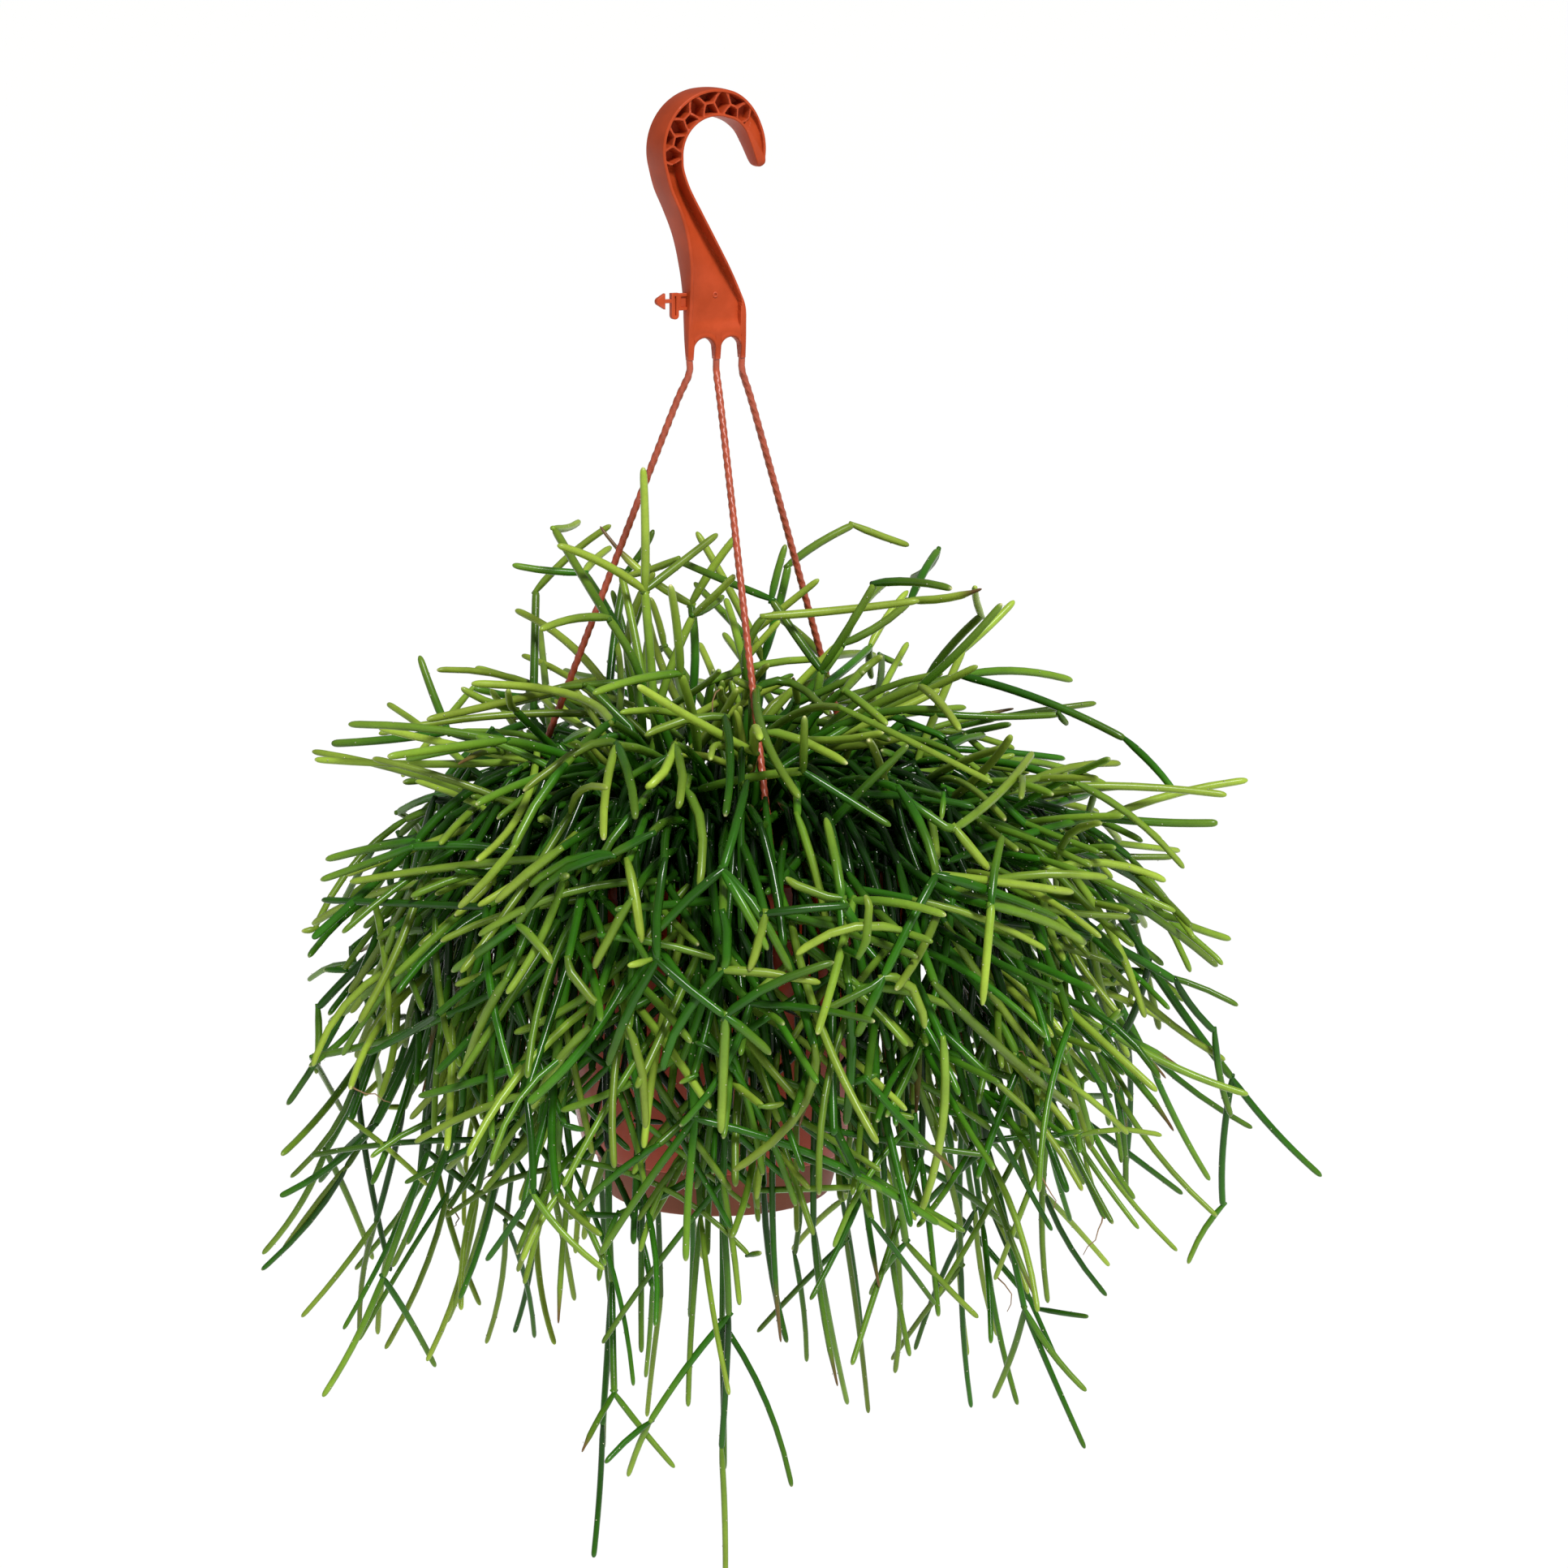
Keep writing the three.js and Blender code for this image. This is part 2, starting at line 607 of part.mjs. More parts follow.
function growLeaders() {
  for (const want of wantedLeaders()) {
    const owner = sprays.length;
    const r = want.tip.z < LOW_TIP_Z ? LOW_LEADER_R : LEADER_R;
    let points = null;
    for (let attempt = 0; attempt < TRIES.leader && !points; attempt += 1) {
      const trial = leaderTry(want, attempt / 40);
      const roomy = sprays.every(({ root }) => root.distanceTo(trial[1]) > ROOT_GAP);
      if (roomy && mayGrow(trial, r, owner, "", 1)) {
        points = trial;
      }
    }
    if (!points) {
      continue;
    }
    take(points, r, owner, (i) => [`${Math.floor(i / 2)}`]);
    const tipForks = want.joint < JOINT ? 2 : 0;
    sprays.push({ root: points[1], leader: points, r, tipForks, branches: [] });
  }
}

// Side stems at one joint, some of them forked again. The first stem at the end of another runs
// on from it in one piece; the others are rooted in it.
function growFork(owner, from, direction, joint, order, count, carrier = null) {
  const spray = sprays[owner];
  const first = between(0, 360);
  let free = carrier;
  for (let k = 0; k < count; k += 1) {
    const later = order > 1 ? 1 : 0;
    const r = BRANCH_R[later];
    for (let attempt = 0; attempt < TRIES.branch; attempt += 1) {
      const round = first + (k * 360) / Math.max(count, 2) + between(-25, 25);
      const heading = turned(direction, between(...FORK), round);
      const long = between(...BRANCH_LENGTH[later]);
      const sag = between(...BRANCH_SAG);
      const [middle, end] = segment(from, heading, long, sag);
      const out = Math.hypot(end.x, end.y);
      const inside = out < reachAt(end.z) * (1 + 0.07 * (end.x / Math.max(out, 1)));
      const straight = order > 1 || sag < STRAIGHT;
      const stem = straight ? [from, end] : [from, middle, end];
      const level = end.z > BRANCH_Z[0] && end.z < BRANCH_Z[1];
      if (inside && level && mayGrow(stem, r, owner, joint)) {
        const name = `${joint}.${order}${k}`;
        take(stem, r, owner, (i) => (i ? [name] : [joint, straight ? name : joint]));
        let branch = free;
        if (branch) {
          branch.points.push(...stem.slice(1));
          free = null;
        } else {
          branch = { from, direction, points: stem.slice(1), r };
          spray.branches.push(branch);
        }
        const onward = end.clone().sub(straight ? from : middle).normalize();
        const forks = order < 3 && draw() < FORK_AGAIN[order - 1] ? 2 : 0;
        growFork(owner, end, onward, name, order + 1, forks, branch);
        break;
      }
    }
  }
}

function growPlant() {
  growLeaders();
  sprays.forEach(({ leader, tipForks }, owner) => {
    const joints = (leader.length - 2) / 2;
    // a long leader carries no side stem at its first joint, low in the crowd
    for (let k = joints > 4 ? 2 : 1; k <= joints; k += 1) {
      const at = leader[1 + 2 * k];
      const direction = at.clone().sub(leader[2 * k]).normalize();
      const count = k < joints ? 1 + Math.floor(between(0, 1.12)) : tipForks;
      growFork(owner, at, direction, `${k}`, 1, count);
    }
  });
}

// The solid of one spray: its leader with every side stem sunk into it.
function spraySolid({ leader, r, branches }) {
  const tipR = r - LEADER_TAPER;
  const radii = leader.map((_, i) => SECTION * (ROOT_R + ((tipR - ROOT_R) * i) / leader.length));
  let body = solid(loft(tubeRings(leader, radii, SIDES)));
  for (const branch of branches) {
    const sunk = branch.from.clone().addScaledVector(branch.direction, -SUNK);
    const points = [sunk, ...branch.points];
    const widths = points.map((_, i) => (
      branch.r * SECTION * BRANCH_ENDS[i + 1 < points.length ? 0 : 1]
    ));
    body = body.add(solid(loft(tubeRings(points, widths, SIDES))));
  }
  return body;
}

// The plain hole in the peat round a spray's root.
function rootHole({ leader }) {
  const [deep, top] = leader;
  const along = top.clone().sub(deep).normalize();
  const points = [deep.clone().addScaledVector(along, -1), top.clone().addScaledVector(along, 8)];
  const wide = SECTION * ROOT_R + 2 * GAP + 0.1;
  return solid(loft(tubeRings(points, points.map(() => wide), SIDES)));
}

// ---------- the whole object ----------
const PLASTIC = { color: 0xb9502c, roughness: 0.45, metalness: 0 };
const SAUCER_PLASTIC = { color: 0x8f5038, roughness: 0.6, metalness: 0 };
const PEAT = { color: 0x1d1712, roughness: 0.95, metalness: 0 };
const STEM = { color: 0x4e8a25, roughness: 0.4, metalness: 0 };

const object = new THREE.Group();

function addPiece(name, body, look, turn = 0) {
  const mesh = new THREE.Mesh(geometryOf(body), new THREE.MeshStandardMaterial(look));
  mesh.name = name;
  mesh.rotation.z = rad(turn);
  object.add(mesh);
}

LEGS.forEach((_, k) => {
  const points = strandRoute(k).getSpacedPoints(8);
  take(points, 1.5, -1, () => [""]);
});
growPlant();

addPiece("hook", hook(), PLASTIC, HOOK_YAW);
["strand_left", "strand_front", "strand_right"].forEach((name, k) => addPiece(name, strand(k), PLASTIC));
addPiece("pot", pot(), PLASTIC);
addPiece("saucer", saucer(), SAUCER_PLASTIC);
addPiece("peat", peat(sprays.map(rootHole)), PEAT);
sprays.forEach((spray, k) => {
  addPiece(`spray_${String(k + 1).padStart(2, "0")}`, spraySolid(spray), STEM);
});

export default object;
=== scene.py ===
"""A mistletoe cactus in a hanging pot of moulded polypropylene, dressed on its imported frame.

Sizes in the drawing functions are millimetres, and make_piece turns them to metres. +Z is up, -Y is
the front, and the origin is the top of the hook's throat, on the pot's axis.
"""

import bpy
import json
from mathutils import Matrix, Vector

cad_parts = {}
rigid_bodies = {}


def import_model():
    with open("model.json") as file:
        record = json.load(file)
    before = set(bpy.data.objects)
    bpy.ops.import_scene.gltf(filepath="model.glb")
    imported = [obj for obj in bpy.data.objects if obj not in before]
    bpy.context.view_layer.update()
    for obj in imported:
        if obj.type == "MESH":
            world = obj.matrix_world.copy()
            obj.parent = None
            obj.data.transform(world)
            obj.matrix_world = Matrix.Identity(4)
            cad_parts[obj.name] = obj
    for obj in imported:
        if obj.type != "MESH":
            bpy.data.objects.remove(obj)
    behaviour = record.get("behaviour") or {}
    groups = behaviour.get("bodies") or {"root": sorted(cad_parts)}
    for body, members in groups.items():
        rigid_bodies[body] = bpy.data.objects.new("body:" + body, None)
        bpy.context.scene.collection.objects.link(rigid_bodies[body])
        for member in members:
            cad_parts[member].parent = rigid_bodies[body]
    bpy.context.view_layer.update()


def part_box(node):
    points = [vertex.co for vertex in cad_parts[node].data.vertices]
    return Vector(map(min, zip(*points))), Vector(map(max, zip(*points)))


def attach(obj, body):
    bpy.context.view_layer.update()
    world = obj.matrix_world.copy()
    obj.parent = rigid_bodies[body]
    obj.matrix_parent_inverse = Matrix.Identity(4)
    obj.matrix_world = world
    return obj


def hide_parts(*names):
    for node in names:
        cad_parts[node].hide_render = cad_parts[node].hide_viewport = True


bl_info = {
    "name": "Mistletoe cactus in a hanging pot",
    "version": (1, 0, 0),
    "blender": (4, 5, 0),
    "location": "3D View > Sidebar > Cactus",
    "description": "Builds a hanging mistletoe cactus, its pot, its hanger and a plain studio",
    "category": "Add Mesh",
}

import json
import math

import bmesh
import bpy
import numpy as np

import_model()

MM = 0.001
ROOT = "root"


def linear(hex_colour):
    """An sRGB hex colour as linear red, green and blue."""
    values = [int(hex_colour[i : i + 2], 16) / 255 for i in (1, 3, 5)]
    return tuple(v / 12.92 if v <= 0.04045 else ((v + 0.055) / 1.055) ** 2.4 for v in values)


def size_of(node):
    """A node's box in millimetres: its lowest and its highest corner."""
    low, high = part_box(node)
    return np.array(low) / MM, np.array(high) / MM


POT_LOW, POT_HIGH = size_of("pot")
SAUCER_LOW, SAUCER_HIGH = size_of("saucer")

# ---------- sizes shared by the pieces ----------
GAP = 0.3  # air between solids that are one moulding or lie together
LEGS = (-11.05, 0.15, 10.9)  # the legs' middles across the hook's plate
LEG_WIDTH = 2.2
LEG_END_Z = -89.0
PLATE_Z = -83.0  # where the legs leave the plate
STRAND_NODES = ("strand_left", "strand_front", "strand_right")
STRAND_ANGLES = (165.2, -75.2, 45.2)  # azimuths of the strands' holes in the rim, degrees
STRAND_CIRCLE = 80.4  # radius of the circle that the holes lie on
RIM_Z = POT_HIGH[2]
RIM_R = POT_HIGH[0]
SKIRT_Z = RIM_Z - 21
WALL_TOP_R = RIM_R - 7.1
BASE_Z = POT_LOW[2] + 6
BASE_R = 52.0
FLOOR_Z = BASE_Z + 2
WALL = 1.6
FLANGE = 2.2  # thickness of the rim's flat top
PEAT_EDGE_Z = RIM_Z - 8
PEAT_RISE = 8.5  # how much higher the peat is in its middle
PEAT_R = 74.2


class HangerSettings(bpy.types.PropertyGroup):
    """The hook and its three strands."""

    yaw: bpy.props.FloatProperty(
        name="Hook turn", description="Turn of the hook's plane from the pot's front",
        default=math.radians(28), subtype="ANGLE", unit="ROTATION",
    )
    depth: bpy.props.FloatProperty(
        name="Hook depth", description="Thickness of the hook round its throat",
        default=14 * MM, unit="LENGTH",
    )
    strand_radius: bpy.props.FloatProperty(
        name="Strand radius", description="Radius of a strand over its three plies",
        default=1.27 * MM, unit="LENGTH",
    )
    strand_pitch: bpy.props.FloatProperty(
        name="Strand pitch", description="Length of one full turn of a strand's plies",
        default=11.4 * MM, unit="LENGTH",
    )
    colour: bpy.props.FloatVectorProperty(
        name="Plastic", description="Colour of the moulded hanger",
        default=linear("#AE4018"), subtype="COLOR", size=3, min=0, max=1,
    )


class PotSettings(bpy.types.PropertyGroup):
    """The pot, its saucer and the peat."""

    facets: bpy.props.IntProperty(
        name="Facets", description="Facets round the pot and the saucer", default=160, min=24,
    )
    colour: bpy.props.FloatVectorProperty(
        name="Pot", description="Colour of the glossy pot",
        default=linear("#9E3512"), subtype="COLOR", size=3, min=0, max=1,
    )
    saucer_colour: bpy.props.FloatVectorProperty(
        name="Saucer", description="Colour of the duller saucer",
        default=linear("#7E432C"), subtype="COLOR", size=3, min=0, max=1,
    )
    peat_colour: bpy.props.FloatVectorProperty(
        name="Peat", description="Colour of the damp peat",
        default=linear("#1E1812"), subtype="COLOR", size=3, min=0, max=1,
    )
    grains: bpy.props.IntProperty(
        name="Grains", description="Number of perlite grains on the peat", default=260, min=0,
    )
    fibres: bpy.props.IntProperty(
        name="Fibres", description="Number of bark fibres on the peat", default=220, min=0,
    )


class PlantSettings(bpy.types.PropertyGroup):
    """The stems."""

    sides: bpy.props.IntProperty(
        name="Sides", description="Sides of a stem", default=8, min=5,
    )
    step: bpy.props.FloatProperty(
        name="Step", description="Length of stem between two rings", default=5.5 * MM,
        unit="LENGTH",
    )
    filling: bpy.props.IntProperty(
        name="Filling", description="Number of stems rooted between the frame's own",
        default=540, min=0,
    )
    veil: bpy.props.IntProperty(
        name="Veil", description="Number of stems rooted at the front that hang before the pot",
        default=44, min=0,
    )
    old_colour: bpy.props.FloatVectorProperty(
        name="Old stems", description="Colour of the oldest joints",
        default=linear("#0E2A05"), subtype="COLOR", size=3, min=0, max=1,
    )
    grown_colour: bpy.props.FloatVectorProperty(
        name="Grown stems", description="Colour of grown joints",
        default=linear("#2D640E"), subtype="COLOR", size=3, min=0, max=1,
    )
    young_colour: bpy.props.FloatVectorProperty(
        name="Young stems", description="Colour of the youngest joints",
        default=linear("#92AA38"), subtype="COLOR", size=3, min=0, max=1,
    )


class StudioSettings(bpy.types.PropertyGroup):
    """The camera, the lights and the floor."""

    distance: bpy.props.FloatProperty(
        name="Camera distance", description="Distance of the camera in front of the pot's axis",
        default=1.65, unit="LENGTH",
    )
    height: bpy.props.FloatProperty(
        name="Camera height", description="Height of the camera above the hook's throat",
        default=0.08, unit="LENGTH",
    )
    pitch: bpy.props.FloatProperty(
        name="Camera pitch", description="How far the camera looks down",
        default=math.radians(11.3), subtype="ANGLE", unit="ROTATION",
    )
    turn: bpy.props.FloatProperty(
        name="Camera turn", description="How far the camera looks to the right of the axis",
        default=math.radians(0.876), subtype="ANGLE", unit="ROTATION",
    )
    view: bpy.props.FloatProperty(
        name="Field of view", description="Width of the camera's view",
        default=math.radians(19.95), subtype="ANGLE", unit="ROTATION",
    )
    floor_z: bpy.props.FloatProperty(
        name="Floor", description="Height of the floor below the hook's throat",
        default=-2.0, unit="LENGTH",
    )
    floor_colour: bpy.props.FloatVectorProperty(
        name="Floor colour", description="Colour of the plain floor",
        default=linear("#FBFBFA"), subtype="COLOR", size=3, min=0, max=1,
    )
    key: bpy.props.FloatProperty(
        name="Key light", description="Strength of the light from above the front", default=3.4,
    )
    fill: bpy.props.FloatProperty(
        name="Fill light", description="Strength of the light from all round", default=0.27,
    )


# ---------- materials ----------
def wire(tree, node, inputs, links):
    """Sets a node's sockets and links them to others' outputs."""
    for key, value in inputs.items():
        node.inputs[key].default_value = value
    for key, source in links.items():
        tree.links.new(source, node.inputs[key])


def add(tree, kind, inputs=None, links=None, stops=None, **properties):
    """Adds a node, sets its properties and sockets and links its sockets to others' outputs."""
    made = tree.nodes.new("ShaderNode" + kind)
    for key, value in properties.items():
        setattr(made, key, value)
    wire(tree, made, inputs or {}, links or {})
    for k, (place, colour) in enumerate(stops or ()):
        ramp = made.color_ramp.elements
        stop = ramp[k] if k < 2 else ramp.new(place)
        stop.position = place
        stop.color = (*colour, 1)
    return made


def new_material(name):
    """A material with nothing but its shader: the material, its tree and the shader."""
    material = bpy.data.materials.new(name)
    material.use_nodes = True
    tree = material.node_tree
    shader = tree.nodes["Principled BSDF"]
    return material, tree, shader


def per_metre(millimetres):
    """The scale of a pattern whose marks are this many millimetres apart."""
    return 1 / (millimetres * MM)


def moulded_polypropylene(name, colour, roughness, marks, edge_light, shine=0.5):
    """Injection-moulded polypropylene: an even, slightly waxy orange-brown with a soft highlight.

    Slow flow of the melt leaves faint cloudy bands, marks mm apart, the spark-eroded mould a fine
    grain, and sharp edges are painted paler by edge_light: a painted highlight for the light that thin
    edges let through and catch.
    """
    material, tree, shader = new_material(name)
    place = add(tree, "TexCoord").outputs["Object"]
    clouds = add(tree, "TexNoise", {"Scale": per_metre(marks), "Detail": 4, "Roughness": 0.55},
                 {"Vector": place})
    dark = tuple(0.82 * c for c in colour)
    light = tuple(min(1, 1.14 * c + 0.006) for c in colour)
    cloudy = add(tree, "ValToRGB", links={"Fac": clouds.outputs["Fac"]}, stops=[(0.3, dark), (0.72, light)])
    # painted highlight: where Pointiness finds a sharp edge, the colour is mixed towards a paler tint, by
    # edge_light
    highlight_tint = tuple(min(1, 1.25 * c + 0.055) for c in colour)
    edges = add(tree, "ValToRGB", links={"Fac": add(tree, "NewGeometry").outputs["Pointiness"]},
                stops=[(0.52, (0, 0, 0)), (0.62, (edge_light,) * 3)])
    mixed = add(tree, "Mix", {7: (*highlight_tint, 1)},
                {0: edges.outputs["Color"], 6: cloudy.outputs["Color"]}, data_type="RGBA")
    rough = add(tree, "MapRange", {3: roughness - 0.05, 4: roughness + 0.07}, {0: clouds.outputs["Fac"]})
    # the mould's grain, about 0.5 mm, coarser than real so that it shows
    grain = add(tree, "TexNoise", {"Scale": per_metre(0.5), "Detail": 2}, {"Vector": place})
    bump = add(tree, "Bump", {"Strength": 0.12, "Distance": 0.05 * MM}, {"Height": grain.outputs["Fac"]})
    wire(tree, shader, {"IOR": 1.49, "Specular IOR Level": shine},
         {"Base Color": mixed.outputs[2], "Roughness": rough.outputs[0],
          "Normal": bump.outputs["Normal"]})
    return material


def waxy_stem_skin(name, settings):
    """Living cactus skin under a thin wax: dark and glossy when old, yellow-green when young.

    The attributes age, tone, tip and dry are set along each stem; tip paints the cream growing
    point and dry the withered brown end. Age also carries painted shade: joints deep in the mass
    near the pot are set older, so darker.
    """
    material, tree, shader = new_material(name)
    place = add(tree, "TexCoord").outputs["Object"]
    age = add(tree, "Attribute", attribute_name="age").outputs["Fac"]
    tone = add(tree, "Attribute", attribute_name="tone").outputs["Fac"]
    tip = add(tree, "Attribute", attribute_name="tip").outputs["Fac"]
    dry = add(tree, "Attribute", attribute_name="dry").outputs["Fac"]
    half_grown = tuple(0.5 * a + 0.5 * b
                       for a, b in zip(settings.grown_colour, settings.young_colour))
    by_age = add(tree, "ValToRGB", links={"Fac": age}, stops=[
        (0.0, tuple(settings.old_colour)), (1.0, tuple(settings.young_colour)),
        (0.42, tuple(settings.grown_colour)), (0.74, half_grown)])
    # patches of 9 mm where the skin has greened or paled, and flecks under a millimetre
    patches = add(tree, "TexNoise", {"Scale": per_metre(9), "Detail": 3}, {"Vector": place})
    flecks = add(tree, "TexNoise", {"Scale": per_metre(0.9), "Detail": 2}, {"Vector": place})
    shade = add(tree, "Math", {1: 0.6, 2: 0.7}, {0: patches.outputs["Fac"]}, operation="MULTIPLY_ADD")
    shade = add(tree, "Math", links={0: shade.outputs[0], 1: tone}, operation="MULTIPLY")
    fine = add(tree, "MapRange", {3: 0.86, 4: 1.12}, {0: flecks.outputs["Fac"]})
    shade = add(tree, "Math", links={0: shade.outputs[0], 1: fine.outputs[0]}, operation="MULTIPLY")
    tinted = add(tree, "VectorMath", links={0: by_age.outputs["Color"], "Scale": shade.outputs[0]},
                 operation="SCALE")
    tipped = add(tree, "Mix", {7: (*linear("#D8D29A"), 1)}, {0: tip, 6: tinted.outputs[0]},
                 data_type="RGBA")
    withered = add(tree, "Mix", {7: (*linear("#6B5230"), 1)}, {0: dry, 6: tipped.outputs[2]},
                   data_type="RGBA")
    # old skin is smooth and glossy, young skin is still velvety
    rough = add(tree, "MapRange", {3: 0.17, 4: 0.34}, {0: age})
    bump = add(tree, "Bump", {"Strength": 0.25, "Distance": 0.12 * MM}, {"Height": flecks.outputs["Fac"]})
    wire(tree, shader,
         {"IOR": 1.45, "Specular IOR Level": 0.3, "Coat Weight": 0.06, "Coat Roughness": 0.1},
         {"Base Color": withered.outputs[2], "Roughness": rough.outputs[0],
          "Normal": bump.outputs["Normal"]})
    return material


def plain_grain(name, colour, spread, mark, roughness):
    """A dull crumbly stuff whose colour varies by spread from mark to mark, mark mm apart."""
    material, tree, shader = new_material(name)
    place = add(tree, "TexCoord").outputs["Object"]
    speckle = add(tree, "TexNoise", {"Scale": per_metre(mark), "Detail": 6, "Roughness": 0.7},
                  {"Vector": place})
    ramp = add(tree, "ValToRGB", links={"Fac": speckle.outputs["Fac"]}, stops=[
        (0.32, tuple(c * (1 - spread) for c in colour)),
        (0.7, tuple(min(1, c * (1 + spread)) for c in colour))])
    bump = add(tree, "Bump", {"Strength": 0.6, "Distance": 0.4 * MM}, {"Height": speckle.outputs["Fac"]})
    wire(tree, shader, {"Roughness": roughness},
         {"Base Color": ramp.outputs["Color"], "Normal": bump.outputs["Normal"]})
    return material


def once(name, make, *looks, **more):
    """The material of that name, made the first time that it is asked for."""
    return bpy.data.materials.get(name) or make(name, *looks, **more)


# ---------- meshes ----------
UP = np.array([0, 0, 1.0])
MERGE = 0.002  # points closer than this become one


def joined(parts):
    """The vertices of several parts, in metres, and their faces."""
    vertices = np.concatenate([np.asarray(part["vertices"], float) for part in parts]) * MM
    faces = []
    start = 0
    for part in parts:
        faces += [tuple(start + i for i in face) for face in part["faces"]]
        start += len(part["vertices"])
    return vertices.tolist(), faces


def shade(mesh, sharp=None):
    """Shades a mesh smooth, but for edges where it turns by more than this many degrees."""
    mesh.shade_smooth()
    if sharp is not None:
        mesh.set_sharp_from_angle(angle=math.radians(sharp))


def make_piece(name, parts, materials, stands_for=(), sharp=None):
    """One object from parts: vertices in mm, faces, a material number and values by vertex."""
    vertices, faces = joined(parts)
    mesh = bpy.data.meshes.new(name)
    mesh.from_pydata(vertices, [], faces)
    numbers = [part.get("material", 0) for part in parts for _ in part["faces"]]
    mesh.polygons.foreach_set("material_index", numbers)
    for key in sorted({key for part in parts for key in part.get("values", {})}):
        data = np.concatenate([
            np.asarray(part.get("values", {}).get(key, np.zeros(len(part["vertices"]))), float)
            for part in parts])
        attribute = mesh.attributes.new(key, "FLOAT", "POINT")
        attribute.data.foreach_set("value", data.astype(np.float32))
    mesh.update()
    shade(mesh, sharp)
    piece = bpy.data.objects.new(name, mesh)
    bpy.context.scene.collection.objects.link(piece)
    for material in materials:
        mesh.materials.append(material)
    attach(piece, ROOT)
    if stands_for:
        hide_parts(*stands_for)
    return piece


def tidy_mesh(piece, sharp=None):
    """Joins points that lie on each other, turns all faces outwards and shades them again."""
    work = bmesh.new()
    work.from_mesh(piece.data)
    bmesh.ops.remove_doubles(work, verts=work.verts, dist=MERGE * MM)
    bmesh.ops.recalc_face_normals(work, faces=work.faces)
    work.to_mesh(piece.data)
    work.free()
    shade(piece.data, sharp)


def ring_faces(rings, sides, looped=False):
    """Quads between closed rings of points; looped joins the last ring to the first."""
    total = rings * sides
    faces = []
    for k in range(rings if looped else rings - 1):
        for i in range(sides):
            a, b = k * sides + i, k * sides + (i + 1) % sides
            faces.append((a, b, (b + sides) % total, (a + sides) % total))
    return faces


def from_axis(r, angle, z):
    """The place at a radius, an azimuth in radians and a height."""
    return np.array([r * math.cos(angle), r * math.sin(angle), z])


def spun(points, angle):
    """Points turned about the upright axis."""
    p = np.asarray(points, float)
    cosine, sine = math.cos(angle), math.sin(angle)
    return np.stack([p[:, 0] * cosine - p[:, 1] * sine, p[:, 0] * sine + p[:, 1] * cosine, p[:, 2]], axis=1)


def unit(v):
    """A vector's direction."""
    return v / max(np.linalg.norm(v), 1e-12)


def off_axis(direction):
    """An axis that a direction doesn't run along."""
    return np.array([1.0, 0, 0]) if abs(direction[2]) > 0.9 else UP


def crossways(direction):
    """Two directions square to a third and to each other."""
    first = unit(np.cross(direction, off_axis(direction)))
    return first, np.cross(direction, first)


def tube(points, radii, sides, lobes=None):
    """A closed tube along points, carried without twist. lobes(ring, angle) scales its radius."""
    points = np.asarray(points, float)
    steps = np.diff(points, axis=0)
    steps /= np.maximum(np.linalg.norm(steps, axis=1), 1e-9)[:, None]
    tangents = np.concatenate([steps[:1], steps[:-1] + steps[1:], steps[-1:]])
    tangents /= np.linalg.norm(tangents, axis=1)[:, None]
    start = off_axis(tangents[0])
    normal = unit(start - tangents[0] * start.dot(tangents[0]))
    angles = np.arange(sides) * 2 * math.pi / sides
    cosines, sines = np.cos(angles)[:, None], np.sin(angles)[:, None]
    rings = []
    for k, (point, tangent) in enumerate(zip(points, tangents)):
        normal = unit(normal - tangent * normal.dot(tangent))
        across = np.cross(tangent, normal)
        size = radii[k] * (lobes(k, angles)[:, None] if lobes else 1)
        rings.append(point + size * (cosines * normal + sines * across))
    count = len(points)
    faces = ring_faces(count, sides)
    faces.append(tuple(range(sides - 1, -1, -1)))
    faces.append(tuple((count - 1) * sides + i for i in range(sides)))
    return {"vertices": np.concatenate(rings), "faces": faces}


def lathe(profile, segments):
    """A turned body. A profile that starts and ends on the axis gets a point at each end."""
    angles = np.arange(segments) * 2 * math.pi / segments
    vertices, rows = [], []
    for r, z in profile:
        if abs(r) < 1e-6:
            rows.append([len(vertices)] * segments)
            vertices.append((0, 0, z))
        else:
            rows.append(list(range(len(vertices), len(vertices) + segments)))
            vertices += [(r * math.cos(a), r * math.sin(a), z) for a in angles]
    faces = []
    for low, high in zip(rows, rows[1:]):
        for i in range(segments):
            j = (i + 1) % segments
            corners = [low[i], low[j], high[j], high[i]]
            faces.append(tuple(dict.fromkeys(corners)))
    return {"vertices": vertices, "faces": [face for face in faces if len(face) > 2]}


def rounded(profile, radius):
    """A profile with each inner corner replaced by an arc."""
    points = [np.array(p, float) for p in profile]
    out = [tuple(points[0])]
    for before, corner, after in zip(points, points[1:], points[2:]):
        back, ahead = before - corner, after - corner
        room = min(radius, 0.45 * np.linalg.norm(back), 0.45 * np.linalg.norm(ahead))
        start, end = corner + unit(back) * room, corner + unit(ahead) * room
        for t in np.linspace(0, 1, 4):
            out.append(tuple((1 - t) ** 2 * start + 2 * t * (1 - t) * corner + t ** 2 * end))
    out.append(tuple(points[-1]))
    return out


def smooth_step(x, low, high):
    """0 below low, 1 above high, and an even slope between."""
    t = np.clip((x - low) / (high - low), 0, 1)
    return t * t * (3 - 2 * t)


# ---------- the hook ----------
# Circles in the hook's plane, where u runs across and z up: their middles and radii.
THROAT = (-2.6, -13.8, 14.0)
CROWN = (-2.7, -12.2, 22.4)
TIP = (17.6, -16.9, 2.0)
TIP_INNER = ((14.2, -13.8), (12.5, -10), (10.3, -5.8), (7.4, -2.9), (4.4, -1.25))
TIP_CAP = (280, 370, 190)  # the tip's round end: its middle, outer and inner end, degrees
CROWN_ARC = (8, 196)  # round part of the outer edge
THROAT_ARC = (72, 184)  # round part of the inner edge; the straighter tip is before it
RUN_OUT = 12  # degrees of an arc that set the shank's first direction
OUTER_SHANK = ((-22.1, -26), (-18.2, -34.5), (-14.9, -44), (-12.9, -55), (-12.3, -66),
               (-12.4, -77), (-12.15, PLATE_Z))
